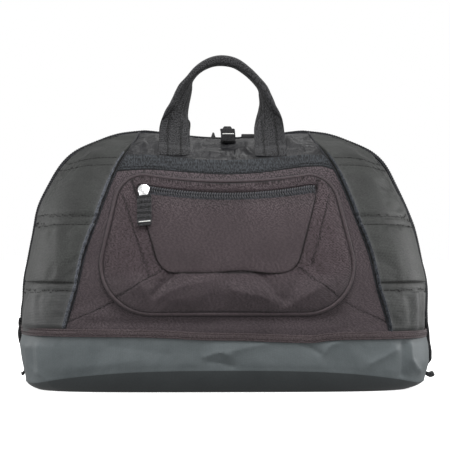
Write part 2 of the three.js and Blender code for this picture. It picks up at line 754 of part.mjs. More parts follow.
const tabShape = new THREE.Shape();
const knobTurn = Math.asin(POCKET_TAB.neck / POCKET_TAB.knob);
tabShape.absarc(0, 0, POCKET_TAB.knob, -Math.PI / 2 + knobTurn, (3 * Math.PI) / 2 - knobTurn, false);
tabShape.lineTo(-POCKET_TAB.neck, POCKET_TAB.foot);
tabShape.lineTo(POCKET_TAB.neck, POCKET_TAB.foot);
tabShape.closePath();
add("pocket_zip_pull_tab", plaque(tabShape, POCKET_TAB), MATERIALS.metal);

const pocketPullPath = spread(0, 1, 4).map((share) => {
  const z = lerp(POCKET_PULL.top, POCKET_PULL.foot, share);
  return pocketPoint(POCKET_PULL.x, z, lerp(POCKET_PULL.topLift, POCKET_PULL.footLift, share));
});
const pullMiddle = (POCKET_PULL.top + POCKET_PULL.foot) / 2;
const pullRight = pocketPoint(POCKET_PULL.x + 4, pullMiddle, POCKET_PULL.footLift);
const pullLeft = pocketPoint(POCKET_PULL.x - 4, pullMiddle, POCKET_PULL.footLift);
const pocketPullSide = pullRight.sub(pullLeft).normalize();
const pocketPullRings = pathRings(pocketPullPath, pocketPullSide, POCKET_PULL.wide, POCKET_PULL.thick);
add("pocket_zip_pull", sweepGeometry(pocketPullRings), MATERIALS.webbing);

// The carry handle
function handleFoot(x, z) {
  const height = HANDLE_LIFT + HANDLE_FEET.thick / 2;
  const side = front(x + 6, z, height).sub(front(x - 6, z, height)).normalize();
  return { center: front(x, z, height), side, width: HANDLE_FEET.wide, thick: HANDLE_FEET.thick };
}
const leftFoot = HANDLE_FEET.levels.map((z) => handleFoot(HANDLE_FEET.left, z));
const rightFoot = HANDLE_FEET.levels.map((z) => handleFoot(HANDLE_FEET.right, z)).reverse();
rightFoot.forEach((row) => row.side.negate());
const freeStrap = HANDLE.map(({ x, y, z, width, thick, twist }) => {
  const side = new THREE.Vector3(Math.cos(degToRad(twist)), Math.sin(degToRad(twist)), 0);
  return { center: new THREE.Vector3(x, y, z), side, width, thick };
});
const strapRows = [...leftFoot, ...freeStrap, ...rightFoot];
const strapLine = new THREE.CatmullRomCurve3(strapRows.map((row) => row.center));
const strapSides = new THREE.CatmullRomCurve3(strapRows.map((row) => row.side));
const sizeRows = strapRows.map((row) => new THREE.Vector3(row.width, row.thick, 0));
const strapSizes = new THREE.CatmullRomCurve3(sizeRows);
const strapRings = spread(0, 1, HANDLE_STATIONS).map((share) => {
  const tangent = strapLine.getTangent(share);
  const side = strapSides.getPoint(share);
  side.addScaledVector(tangent, -side.dot(tangent)).normalize();
  const size = strapSizes.getPoint(share);
  return strapRing(strapLine.getPoint(share), side, tangent.cross(side).normalize(), size.x, size.y);
});
add("handle_strap", sweepGeometry(strapRings), MATERIALS.webbing);

export default bag;
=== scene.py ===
"""Looks of a soft helmet bag: coated tub, quilted wings, arched zip, piped pocket and webbing handle.

Sizes are in millimetres, +Z up, with the front towards -Y. Meshes are written in metres.
"""

import logging
import math
from contextlib import contextmanager
from dataclasses import dataclass, field
from enum import Enum
from functools import cache
from typing import Callable, Iterator, Sequence, Union

import bpy
import numpy as np
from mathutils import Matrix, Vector, noise
from mathutils.bvhtree import BVHTree


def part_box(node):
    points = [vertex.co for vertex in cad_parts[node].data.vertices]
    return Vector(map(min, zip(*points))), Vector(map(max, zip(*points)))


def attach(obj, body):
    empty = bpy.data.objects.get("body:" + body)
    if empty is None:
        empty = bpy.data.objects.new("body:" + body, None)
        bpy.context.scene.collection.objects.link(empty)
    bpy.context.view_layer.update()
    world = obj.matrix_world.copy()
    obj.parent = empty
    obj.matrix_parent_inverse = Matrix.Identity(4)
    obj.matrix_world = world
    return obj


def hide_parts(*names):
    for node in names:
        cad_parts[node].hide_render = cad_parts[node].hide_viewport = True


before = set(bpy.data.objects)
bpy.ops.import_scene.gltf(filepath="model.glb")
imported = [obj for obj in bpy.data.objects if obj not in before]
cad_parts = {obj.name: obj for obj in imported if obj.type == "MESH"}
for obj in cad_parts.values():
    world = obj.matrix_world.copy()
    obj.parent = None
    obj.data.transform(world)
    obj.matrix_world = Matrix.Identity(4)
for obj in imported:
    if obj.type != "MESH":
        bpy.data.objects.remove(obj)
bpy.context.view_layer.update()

log = logging.getLogger("gear_bag")

MM = 0.001
BODY = "root"
Array = np.ndarray
Numbers = Union[float, Array]
Curve = Callable[[Numbers], Array]
Rows = tuple[tuple[float, ...], ...]
Seed = tuple[Array, Array]
Piece = bpy.types.Object
Tree = bpy.types.NodeTree
Socket = bpy.types.NodeSocket
Sockets = bpy.types.bpy_prop_collection


def linear(colour: str) -> tuple[float, float, float, float]:
    """Turns an sRGB hex colour into linear light.

    Args:
        colour: Hex colour such as "#463f40".

    Returns:
        Linear red, green and blue, and an alpha of 1.
    """
    shares = [int(colour[i : i + 2], 16) / 255 for i in (1, 3, 5)]
    light = [s / 12.92 if s <= 0.04045 else ((s + 0.055) / 1.055) ** 2.4 for s in shares]
    return (light[0], light[1], light[2], 1.0)


def ease(value: Numbers, low: float, high: float) -> Array:
    """Rises smoothly from 0 at low to 1 at high."""
    share = np.clip((np.asarray(value, float) - low) / (high - low), 0, 1)
    return share * share * (3 - 2 * share)


def hump(value: Numbers, middle: float, reach: float) -> Array:
    """Rises to 1 at the middle and dies away over the reach."""
    return np.exp(-(((np.asarray(value, float) - middle) / reach) ** 2))


def smooth_column(places: Array, values: Array) -> Curve:
    """Makes a curve through a table's column that never overshoots.

    Args:
        places: Rising places of the rows.
        values: Value of the column in each row.

    Returns:
        The value at any place.
    """
    steps = np.diff(values) / np.diff(places)
    before = np.concatenate([steps[:1], steps])
    after = np.concatenate([steps, steps[-1:]])
    level = before * after <= 0
    slopes = np.where(level, 0, 2 * before * after / np.where(level, 1, before + after))

    def at(place: Numbers) -> Array:
        """Reads the curve at one place or many."""
        place = np.clip(place, places[0], places[-1])
        i = np.clip(np.searchsorted(places, place) - 1, 0, len(steps) - 1)
        width = places[i + 1] - places[i]
        t = (place - places[i]) / width
        start = values[i] + t * t * (3 - 2 * t) * (values[i + 1] - values[i])
        return start + width * t * (1 - t) * (slopes[i] * (1 - t) - slopes[i + 1] * t)

    return at


def curves(rows: Rows) -> list[Curve]:
    """Makes a curve through each column of a table but the first, which holds the places."""
    table = np.array(rows, float).T
    return [smooth_column(table[0], column) for column in table[1:]]


def runs(line: Array) -> Array:
    """Length along a line of points, from its first point."""
    steps = np.linalg.norm(np.diff(line, axis=0), axis=1)
    return np.concatenate([[0.0], np.cumsum(steps)])


def spread(line: Array, spans: int) -> Array:
    """Divides a line into even spans and gives the points between them, both ends included."""
    run = runs(line)
    places = np.linspace(0, run[-1], spans + 1)
    return np.stack([np.interp(places, run, column) for column in line.T], axis=1)


def resample(line: Array, spacing: float) -> Array:
    """Spaces points evenly along a line, about this far apart."""
    return spread(line, max(int(round(runs(line)[-1] / spacing)), 2))


def through(rows: Array, count: int) -> Array:
    """Draws a smooth curve through table rows.

    Args:
        rows: One row of numbers for each station.
        count: How many rows the curve has.

    Returns:
        The finer rows.
    """
    ends = np.concatenate([2 * rows[:1] - rows[1:2], rows, 2 * rows[-1:] - rows[-2:-1]])
    place = np.linspace(0, len(rows) - 1, count)
    i = np.minimum(place.astype(int), len(rows) - 2)
    t = (place - i)[:, None]
    a, b, c, d = ends[i], ends[i + 1], ends[i + 2], ends[i + 3]
    bend = (2 * a - 5 * b + 4 * c - d) * t**2 + (3 * (b - c) + d - a) * t**3
    return b + 0.5 * ((c - a) * t + bend)


def unit(vectors: Array) -> Array:
    """Scales vectors to a length of 1."""
    return vectors / np.maximum(np.linalg.norm(vectors, axis=-1, keepdims=True), 1e-9)


def crumple(x: Numbers, y: Numbers, z: Numbers, size: float, seed: float) -> Array:
    """Cloudy unevenness from -1 to 1, the same on each run.

    Args:
        x: Places across.
        y: Places deep.
        z: Places up.
        size: Width of the clouds.
        seed: Shifts the clouds to another patch.

    Returns:
        One value for each place.
    """
    points = np.stack(np.broadcast_arrays(x, y, z), axis=-1)
    values = [noise.noise(Vector(p)) for p in points.reshape(-1, 3) / size + seed]
    return np.array(values).reshape(points.shape[:-1])


@dataclass(frozen=True)
class FrontLine:
    """A line of places on the front, each across and up."""

    places: Rows

    def distance(self, x: Array, z: Array) -> Array:
        """Distance of places on the front from the line.

        Args:
            x: Places across.
            z: Places up.

        Returns:
            One distance for each place.
        """
        nearest = np.full(np.shape(x), np.inf)
        for start, end in zip(self.places, self.places[1:]):
            ahead = np.subtract(end, start)
            share = ((x - start[0]) * ahead[0] + (z - start[1]) * ahead[1]) / (ahead @ ahead)
            share = np.clip(share, 0, 1)
            gap = np.hypot(x - start[0] - share * ahead[0], z - start[1] - share * ahead[1])
            nearest = np.minimum(nearest, gap)
        return nearest

    def fine(self) -> Array:
        """Close places along the line, across and up."""
        return resample(np.array(self.places, float), 1.0)


@dataclass(frozen=True)
class Fold(FrontLine):
    """A ridge, or a crease if its height is negative, that runs along a line of the cloth."""

    wide: float = 8.0
    height: float = 1.5

    def rise(self, x: Array, z: Array, crisp: float) -> Array:
        """How far the fold lifts the cloth at places on the front; 1 makes its crest an edge."""
        return self.height * np.exp(-((self.distance(x, z) / self.wide) ** crisp))


def folded(folds: Sequence[Fold], x: Array, z: Array, crisp: float = 1.5) -> Array:
    """How far all the folds together lift the cloth at places on the front."""
    return np.sum([fold.rise(x, z, crisp) for fold in folds], axis=0)


def nearest_gap(lines: Sequence[FrontLine], x: Array, z: Array) -> Array:
    """Distance of places on the front from the nearest of some lines."""
    return np.min([line.distance(x, z) for line in lines], axis=0)


@dataclass
class Form:
    """The stuffed outer form that every panel is laid on, as rounded sections stacked in height."""

    # Height, half width, half depth and squareness of each section
    sections: Rows = (
        (0, 207, 133, 3.8), (22, 211.5, 136, 3.8), (56, 215.5, 137, 3.6), (101, 215.5, 134, 3.2),
        (140, 209.5, 127, 3.0), (179, 200.5, 115, 2.8), (217, 184.5, 95, 2.6), (236, 173.5, 79, 2.5),
        (249, 160, 63, 2.4), (262, 132, 40, 2.4), (269, 110, 21, 2.4), (272, 85, 0, 2.4),
    )
    # Height and half width of the seam between the middle panels and the wings
    wing_seam: Rows = (
        (50, 169), (60, 167), (105, 154), (141, 146), (174, 134.5), (228, 113.7), (262, 94), (269, 91),
    )
    dip_depth: float = 7.5
    dip_reach: float = 85
    dip_from: float = 205
    dip_full: float = 262
    crest_from: float = 255
    pocket_bulge: float = 9
    pocket_top: tuple[float, float] = (108.5, 221)
    pocket_foot: tuple[float, float] = (141, 80.5)
    sag_depth: float = 5.5
    sag_reach: float = 85
    sag_from: float = 185
    sag_full: float = 215
    zip_sag: float = 3.5
    # Height, and how far the left and the right side sway outwards there
    sway: Rows = (
        (63, 0, 0), (68, 1.1, 0.6), (80, 0.6, 1.2), (93, -1.0, 2.0), (106, -1.3, 2.6), (119, -1.2, 2.6),
        (131, -1.3, 2.2), (157, -1.2, 1.9), (170, -0.4, 1.5), (183, 1.2, 0.3), (196, 2.2, -0.4),
        (219, 1.4, -1.0), (240, 0, 0),
    )
    # Across and rise of the trim's sewn line along the front
    trim_rise: Rows = (
        (-216, 5), (-97, 5), (-61, 4), (-24, 2), (12, 1.5), (49, 0), (85, -1), (103, 1.2), (122, 2), (216, 2),
    )
    # Across and rise of the yoke's lower edge
    yoke_rise: Rows = (
        (-120, -1), (-78, 1), (-37, -0.5), (-1, -2), (35, -0.5), (76, 3.5), (99, 4.5), (115, 0),
    )

    def __post_init__(self) -> None:
        """Turns the tables into curves."""
        self.crown = float(self.sections[-1][0])
        self.half_width, self.half_depth, self.power = curves(self.sections)
        self.sway_left, self.sway_right = curves(self.sway)
        self.seam = curves(self.wing_seam)[0]
        self.trim_front = curves(self.trim_rise)[0]
        self.yoke_edge = curves(self.yoke_rise)[0]

    @staticmethod
    def rest(share: Numbers, power: Numbers) -> Array:
        """The other half size's share, where one half size has this share."""
        return np.maximum(1 - np.abs(share) ** power, 0) ** (1 / np.asarray(power, float))

    def front_depth(self, x: Numbers, z: Numbers) -> Array:
        """Depth of the front at a place across and up."""
        return -self.half_depth(z) * self.rest(x / self.half_width(z), self.power(z))

    def fullness(self, x: Numbers, y: Numbers, z: Numbers) -> Array:
        """Below 1 inside the form, 1 on it and above 1 outside."""
        power, depth = self.power(z), np.maximum(self.half_depth(z), 0.01)
        return (np.abs(x) / self.half_width(z)) ** power + (np.abs(y) / depth) ** power

    def crest(self, x: Numbers, y: Numbers) -> Array:
        """Finds the height of the form over a place.

        Args:
            x: Places across.
            y: Places deep.

        Returns:
            One height for each place.
        """
        shape = np.broadcast(x, y).shape
        low, high = np.full(shape, 57.0), np.full(shape, self.crown)
        for _ in range(40):
            middle = (low + high) / 2
            inside = self.fullness(x, y, middle) < 1
            low, high = np.where(inside, middle, low), np.where(inside, high, middle)
        return low

    def normal(self, x: Array, y: Array, z: Array) -> Array:
        """Outward direction of the form.

        Args:
            x: Places across.
            y: Places deep.
            z: Places up.

        Returns:
            Unit directions, one for each place.
        """
        s, full, crest = 0.4, self.fullness, self.crest
        side = [full(x + s, y, z) - full(x - s, y, z), full(x, y + s, z) - full(x, y - s, z)]
        side.append(full(x, y, z + s) - full(x, y, z - s))
        over = [crest(x - s, y) - crest(x + s, y), crest(x, y - s) - crest(x, y + s)]
        over.append(np.full(np.shape(z), 2 * s))
        steep, flat = (unit(np.stack(parts, axis=-1)) for parts in (side, over))
        return np.where((z > self.crest_from)[..., None], flat, steep)

    def lay(self, x: Numbers, y: Numbers, z: Numbers, height: Numbers) -> Array:
        """Lays places on the form, raised along its normal, with the slack of the crown taken off.

        Args:
            x: Places across.
            y: Places deep.
            z: Places up.
            height: How far they stand off the form.

        Returns:
            Points in millimetres.
        """
        x, y, z, height = np.broadcast_arrays(*[np.asarray(v, float) for v in (x, y, z, height)])
        points = np.stack([x, y, z], axis=-1) + self.normal(x, y, z) * height[..., None]
        across, up = points[..., 0], points[..., 2]
        swayed = np.where(across < 0, -self.sway_left(up), self.sway_right(up))
        points[..., 0] += ease(np.abs(across), 150, 205) * swayed
        slack = self.rest(np.minimum(np.abs(points[..., 0]) / self.dip_reach, 1), 2) ** 3
        points[..., 2] -= self.dip_depth * slack * ease(up, self.dip_from, self.dip_full)
        return points

    def front(self, x: Numbers, z: Numbers, height: Numbers) -> Array:
        """Lays places on the front, swollen where the pocket is.

        Args:
            x: Places across.
            z: Places up.
            height: How far they stand off the form.

        Returns:
            Points in millimetres.
        """
        points = self.lay(x, self.front_depth(x, z), z, height)
        rise = (z - self.pocket_foot[1]) / (self.pocket_top[1] - self.pocket_foot[1])
        narrowing = np.clip(rise, 0, 1) * (self.pocket_top[0] - self.pocket_foot[0])
        across = np.clip(1 - (np.asarray(x) / (self.pocket_foot[0] + narrowing - 4)) ** 4, 0, 1)
        points[..., 1] -= self.pocket_bulge * across * np.clip(1 - (2 * rise - 1) ** 4, 0, 1)
        return points

    def sag(self, x: Numbers, z: Numbers) -> Array:
        """How far the pocket sags at a place across and up."""
        slack = np.clip(1 - (np.asarray(x, float) / self.sag_reach) ** 2, 0, 1)
        top = self.sag_depth * ease(z, self.sag_from, self.sag_full)
        return slack * (top + self.zip_sag * hump(z, 204, 14))

    def pocket(self, x: Numbers, z: Numbers, height: Numbers) -> Array:
        """Lays places on the pocket, whose top edge sags in the middle."""
        return self.front(x, z - self.sag(x, z), height)

    def trim_wave(self, x: Numbers, y: Numbers) -> Array:
        """How far the sewn trim wanders up and down at a place across and deep."""
        back = np.interp(x, *np.array(self.trim_rise, float)[[0, -1]].T)
        return back + (self.trim_front(x) - back) * ease(-np.asarray(y, float), 0, 70)

    @staticmethod
    def rounded(half_width: float, half_depth: float, power: float) -> tuple[Array, Array, Array]:
        """A quarter of a rounded section, from the middle of the front or back to the side.

        Args:
            half_width: Half its width.
            half_depth: Half its depth.
            power: Its squareness.

        Returns:
            Places across, places deep and the run along them, all rising from 0 but the depth.
        """
        turn = np.linspace(0, math.pi / 2, 240)
        x = half_width * np.sin(turn) ** (2 / power)
        y = half_depth * np.maximum(np.cos(turn), 0) ** (2 / power)
        return x, y, runs(np.stack([x, y], axis=1))

    def quarter(self, z: float) -> tuple[Array, Array, Array]:
        """A quarter of the form's section at a height."""
        return self.rounded(self.half_width(z), self.half_depth(z), float(self.power(z)))

    def ring(self, z: float, columns: int) -> tuple[Array, Array]:
        """A whole section at a height, evenly divided."""
        return self.whole(*self.quarter(z), columns)

    @staticmethod
    def whole(x: Array, y: Array, run: Array, columns: int) -> tuple[Array, Array]:
        """Turns a quarter of a section into the whole, from the middle of the back by the left side.

        Args:
            x: Places across of the quarter.
            y: Places deep of the quarter.
            run: Run along the quarter.
            columns: How many spans the whole has.

        Returns:
            Places across and deep, the first repeated at the end.
        """
        place = np.linspace(0, 4, columns + 1)
        quadrant = np.minimum(place.astype(int), 3)
        part = place - quadrant
        share = np.where(quadrant % 2 == 0, part, 1 - part) * run[-1]
        across = np.interp(share, run, x) * np.where(quadrant < 2, -1, 1)
        deep = np.interp(share, run, y) * np.where((quadrant == 1) | (quadrant == 2), -1, 1)
        return across, deep

    def arch(self, y: float, lowest: float, stations: int) -> tuple[Array, Array]:
        """A line over the bag from the left foot of the zip to the right one.

        Args:
            y: Depth of the line.
            lowest: Height of its two ends.
            stations: How many spans it has.

        Returns:
            Places across and up.
        """
        z = np.linspace(lowest, self.crown, 900)
        share = np.abs(y) / np.maximum(self.half_depth(z), 0.01)
        z = z[share < 1]
        x = self.half_width(z) * self.rest(share[share < 1], self.power(z))
        left = np.stack([-x, z], axis=1)
        line = spread(np.concatenate([left, [[0, z[-1]]], left[::-1] * (-1, 1)]), stations)
        return line[:, 0], line[:, 1]


FORM = Form()


def rounded_loop(corners: Rows, count: int = 720) -> Array:
    """Draws a closed outline with round corners on the front, the same on both sides.

    Args:
        corners: Across, up and radius of each right-hand corner, from the top down.
        count: How many points the outline has.

    Returns:
        Points across and up.
    """
    every = [*corners, *[(-x, z, r) for x, z, r in reversed(corners)]]
    line = []
    for i, (x, z, radius) in enumerate(every):
        at = np.array([x, z])
        before = unit(np.array(every[i - 1][:2]) - at)
        after = unit(np.array(every[(i + 1) % len(every)][:2]) - at)
        half = math.acos(float(np.clip(before @ after, -1, 1))) / 2
        middle = at + unit(before + after) * radius / math.sin(half)
        reach = radius / math.tan(half)
        arms = [at + before * reach - middle, at + after * reach - middle]
        start, stop = (math.atan2(arm[1], arm[0]) for arm in arms)
        if stop > start:
            stop -= 2 * math.pi
        turn = np.linspace(start, stop, 40)
        line.append(middle + radius * np.stack([np.cos(turn), np.sin(turn)], axis=1))
    return spread(np.concatenate([*line, line[0][:1]]), count)[:-1]


# Outline of the pocket's piping: across, up and radius of its right-hand corners
PIPING_CORNERS: Rows = ((108.5, 221, 31), (141, 80.5, 49.5))


class Weave(Enum):
    """How the threads of a cloth cross."""

    PLAIN = "plain"
    TWILL = "twill"
    RIB = "rib"


# How a colour mix is set, and how one that darkens is
BLEND = {"data_type": "RGBA"}
DARKEN = {"data_type": "RGBA", "blend_type": "MULTIPLY"}


def add_node(
    tree: Tree, kind: str, inputs: dict, out: int | str = 0, into: Socket | None = None, **settings: object
) -> Socket:
    """Adds a node with its settings, its fixed inputs and its links.

    Args:
        tree: The material's nodes.
        kind: Blender's name of the node's type, after the words that all have.
        inputs: Value or linked socket for each input, by name or number.
        out: The output that is used, by name or number.
        into: A socket that the output is linked to.
        **settings: Properties of the node.

    Returns:
        The output.
    """
    made = tree.nodes.new(f"ShaderNode{kind}")
    for name, value in settings.items():
        setattr(made, name, value)
    for socket, value in inputs.items():
        if isinstance(value, Socket):
            tree.links.new(value, made.inputs[socket])
        else:
            made.inputs[socket].default_value = value
    if into is not None:
        tree.links.new(made.outputs[out], into)
    return made.outputs[out]


def per_band(spacing: float) -> float:
    """Scale of a band pattern whose bands are this many millimetres apart."""
    return 2 * math.pi / (20 * spacing * MM)


def per_cloud(size: float) -> float:
    """Scale of a cloud pattern whose clouds are this many millimetres wide."""
    return 1 / (size * MM)


@dataclass(frozen=True)
class Finish:
    """A surface finish, made into a material once."""

    name: str
    colour: str
    roughness: float

    def material(self) -> bpy.types.Material:
        """The finish's material, made the first time it is asked for.

        Returns:
            The material.
        """
        found = bpy.data.materials.get(self.name)
        if found:
            return found
        made = bpy.data.materials.new(self.name)
        made.use_nodes = True
        shader = made.node_tree.nodes["Principled BSDF"].inputs
        fixed = {"Base Color": linear(self.colour), "Roughness": self.roughness, **self.fixed()}
        for name, value in fixed.items():
            shader[name].default_value = value
        self.dress(made.node_tree, shader)
        return made

    def fixed(self) -> dict[str, object]:
        """The finish's own fixed values of the shader."""
        return {}

    def dress(self, tree: Tree, shader: Sockets) -> None:
        """Adds the finish's own nodes; a plain finish has none.

        Args:
            tree: The material's nodes.
            shader: The shader's inputs.
        """

    def shade(self, tree: Tree, colour: Socket, into: Socket) -> None:
        """Paints shade into a colour where the seam attribute is set, and paints light and a paler tone where
        the other is set.

        Args:
            tree: The material's nodes.
            colour: The colour of the open cloth.
            into: The socket that takes the shaded colour.
        """
        # seam paints near black: painted shade in seams, creases, hollows and under edges, and a dark tone on
        # the tub's base; the other paints grey: painted light and highlights, and a paler tone
        for name, tone in (("seam", (0.004, 0.004, 0.004, 1)), ("painted_light_and_tone", (0.2, 0.2, 0.21, 1))):
            share = add_node(tree, "Attribute", {}, "Fac", attribute_name=name)
            colour = add_node(tree, "Mix", {0: share, 6: colour, 7: tone}, 2, **BLEND)
        tree.links.new(colour, into)


@dataclass(frozen=True)
class WovenCloth(Finish):
    """Woven polyester or nylon: dull threads, a grain that follows the cloth and faint fading."""

    fleck: str = "#555555"
    weave: Weave = Weave.PLAIN
    # Threads as drawn; real ones lie about 0.6 mm apart, too fine to show
    thread: float = 1.8
    # How far the drawn threads show through the loose fibre ends
    order: float = 0.1
    relief: float = 0.12
    sheen: float = 0.12
    specular: float = 0.2
    cloud: float = 45.0
    # Turn of the fibre ends in radians, and how far they are drawn out along it and squeezed across
    slant: float = 0.0
    stretch: tuple[float, float, float] = (1.0, 1.0, 1.0)

    def fixed(self) -> dict[str, object]:
        """The cloth's dull gloss and its soft sheen."""
        return {"Specular IOR Level": self.specular, "Sheen Weight": self.sheen, "Sheen Roughness": 0.45}

    def dress(self, tree: Tree, shader: Sockets) -> None:
        """Adds the weave, its flecks, faded patches, seams and relief."""
        uv = add_node(tree, "TexCoord", {}, "UV")
        turned = {"Vector": uv, "Rotation": (0, 0, self.slant), "Scale": self.stretch}
        laid = add_node(tree, "Mapping", turned)
        fine = {"Vector": laid, "Scale": per_cloud(self.thread * 0.9), "Detail": 1.0}
        ends = add_node(tree, "TexNoise", fine)
        strength = add_node(tree, "Mix", {0: self.order, 2: ends, 3: self.threads(tree, uv)})
        share = add_node(tree, "MapRange", {0: strength, 1: 0.42, 2: 0.59, 3: 0.0, 4: 1.0})
        yarn = add_node(tree, "Mix", {0: share, 6: linear(self.colour), 7: linear(self.fleck)}, 2, **BLEND)
        patches = add_node(tree, "TexNoise", {"Vector": uv, "Scale": per_cloud(self.cloud), "Detail": 3.0})
        fading = add_node(tree, "MapRange", {0: patches, 1: 0.3, 2: 0.7, 3: 0.85, 4: 1.12})
        faded_and_lit = add_node(tree, "Mix", {0: 1.0, 6: yarn, 7: fading}, 2, **DARKEN)
        self.shade(tree, faded_and_lit, shader["Base Color"])
        raised = {"Height": strength, "Distance": self.relief * MM, "Strength": 1.0}
        add_node(tree, "Bump", raised, into=shader["Normal"])

    def threads(self, tree: Tree, uv: Socket) -> Socket:
        """Draws the threads.

        Args:
            tree: The material's nodes.
            uv: Places on the cloth in metres.

        Returns:
            Height of the threads, from 0 to 1.
        """
        bands = {"Vector": uv, "Scale": per_band(self.thread), "Distortion": 0.6, "Detail": 1.0}
        if self.weave is Weave.TWILL:
            return add_node(tree, "TexWave", bands, "Fac", bands_direction="DIAGONAL")
        weft = add_node(tree, "TexWave", bands, "Fac", bands_direction="Y")
        if self.weave is Weave.RIB:
            return weft
        warp = add_node(tree, "TexWave", bands, "Fac", bands_direction="X")
        crossing = add_node(tree, "TexChecker", {"Vector": uv, "Scale": per_cloud(self.thread)}, "Fac")
        return add_node(tree, "Mix", {0: crossing, 2: warp, 3: weft})


@dataclass(frozen=True)
class CoatedCloth(Finish):
    """Cloth with a film of coating: smooth soft gloss, a faint scrim under it and handling marks."""

    tint: str = "#606060"
    # Scrim as drawn; the real one has threads about 0.8 mm apart
    scrim: float = 1.6
    # How far single yarns differ in shade
    grain: float = 0.4
    relief: float = 0.1
    crinkle: float = 0.35
    specular: float = 0.4

    def fixed(self) -> dict[str, object]:
        """The coating's gloss."""
        return {"Specular IOR Level": self.specular}

    def dress(self, tree: Tree, shader: Sockets) -> None:
        """Adds the scrim, the cloudy tint, uneven gloss and fine crinkles."""
        uv = add_node(tree, "TexCoord", {}, "UV")
        bands = {"Vector": uv, "Scale": per_band(self.scrim)}
        warp, weft = (add_node(tree, "TexWave", bands, "Fac", bands_direction=way) for way in "XY")
        grid = add_node(tree, "Math", {0: warp, 1: weft}, operation="MULTIPLY")
        cloudy = {"Vector": uv, "Scale": per_cloud(38), "Detail": 5.0, "Roughness": 0.6}
        patches = add_node(tree, "TexNoise", cloudy)
        clouds = add_node(tree, "MapRange", {0: patches, 1: 0.35, 2: 0.68, 3: 0.0, 4: 1.0})
        tinted = add_node(tree, "Mix", {0: clouds, 6: linear(self.colour), 7: linear(self.tint)}, 2, **BLEND)
        single = {"Vector": uv, "Scale": per_cloud(self.scrim), "Detail": 3.0, "Roughness": 0.7}
        yarns = add_node(tree, "TexNoise", single)
        grain = add_node(tree, "MapRange", {0: yarns, 1: 0.35, 2: 0.65, 3: 1 - self.grain, 4: 1 + self.grain})
        grained = add_node(tree, "Mix", {0: 1.0, 6: tinted, 7: grain}, 2, **DARKEN)
        self.shade(tree, grained, shader["Base Color"])
        gloss = {0: patches, 1: 0.3, 2: 0.7, 3: self.roughness - 0.06, 4: self.roughness + 0.08}
        add_node(tree, "MapRange", gloss, into=shader["Roughness"])
        weave = add_node(tree, "Bump", {"Height": grid, "Distance": self.relief * MM, "Strength": 1.0})
        creased = {"Vector": uv, "Scale": per_cloud(14), "Detail": 4.0, "Roughness": 0.55, "Distortion": 0.8}
        wrinkles = add_node(tree, "TexNoise", creased)
        raised = {"Height": wrinkles, "Distance": self.crinkle * MM, "Strength": 1.0, "Normal": weave}
        add_node(tree, "Bump", raised, into=shader["Normal"])


@dataclass(frozen=True)
class SewingThread(Finish):
    """Twisted polyester thread: dull, with the plies showing as slanted bands."""

    ply: float = 0.9

    def fixed(self) -> dict[str, object]:
        """The thread's dull gloss."""
        return {"Specular IOR Level": 0.25}

    def dress(self, tree: Tree, shader: Sockets) -> None:
        """Adds the slanted plies and their relief."""
        bands = {"Vector": add_node(tree, "TexCoord", {}, "Object"), "Scale": per_band(self.ply)}
        plies = add_node(tree, "TexWave", bands, "Fac", bands_direction="DIAGONAL")
        tone = add_node(tree, "MapRange", {0: plies, 1: 0.0, 2: 1.0, 3: 0.65, 4: 1.1})
        add_node(tree, "Mix", {0: 1.0, 6: linear(self.colour), 7: tone}, 2, shader["Base Color"], **DARKEN)
        raised = {"Height": plies, "Distance": 0.15 * MM, "Strength": 1.0}
        add_node(tree, "Bump", raised, into=shader["Normal"])


@dataclass(frozen=True)
class MouldedNylon(Finish):
    """Extruded nylon of the zip teeth: dark, smooth and a little glossy, with dust in the hollows."""

    dust: str = "#262629"

    def dress(self, tree: Tree, shader: Sockets) -> None:
        """Adds dusty patches and uneven gloss."""
        cloudy = {"Vector": add_node(tree, "TexCoord", {}, "Object"), "Scale": per_cloud(6), "Detail": 3.0}
        patches = add_node(tree, "TexNoise", cloudy)
        dusty = {0: patches, 6: linear(self.colour), 7: linear(self.dust)}
        add_node(tree, "Mix", dusty, 2, shader["Base Color"], **BLEND)
        gloss = {0: patches, 1: 0.3, 2: 0.7, 3: self.roughness - 0.08, 4: self.roughness + 0.12}
        add_node(tree, "MapRange", gloss, into=shader["Roughness"])


@dataclass(frozen=True)
class CastMetal(Finish):
    """Die-cast zinc, plated bright or painted: fine handling scratches and a slight cast ripple."""

    metallic: float = 1.0
    scratch: str = "#8a8a8c"

    def fixed(self) -> dict[str, object]:
        """How far bare metal shows."""
        return {"Metallic": self.metallic}

    def dress(self, tree: Tree, shader: Sockets) -> None:
        """Adds scratches in the colour and gloss, and the ripple."""
        place = add_node(tree, "TexCoord", {}, "Object")
        drawn = add_node(tree, "Mapping", {"Vector": place, "Scale": (1.0, 1.0, 6.0)})
        fine = {"Vector": drawn, "Scale": per_cloud(2.5), "Detail": 6.0, "Roughness": 0.7}
        marks = add_node(tree, "TexNoise", fine)
        wear_and_highlight = add_node(tree, "MapRange", {0: marks, 1: 0.58, 2: 0.72, 3: 0.0, 4: 0.6})
        scratched = {0: wear_and_highlight, 6: linear(self.colour), 7: linear(self.scratch)}
        add_node(tree, "Mix", scratched, 2, shader["Base Color"], **BLEND)
        gloss = {0: marks, 1: 0.3, 2: 0.7, 3: self.roughness, 4: self.roughness + 0.15}
        add_node(tree, "MapRange", gloss, into=shader["Roughness"])
        ripple = add_node(tree, "TexNoise", {"Vector": place, "Scale": per_cloud(4)})
        raised = {"Height": ripple, "Distance": 0.15 * MM, "Strength": 0.6}
        add_node(tree, "Bump", raised, into=shader["Normal"])


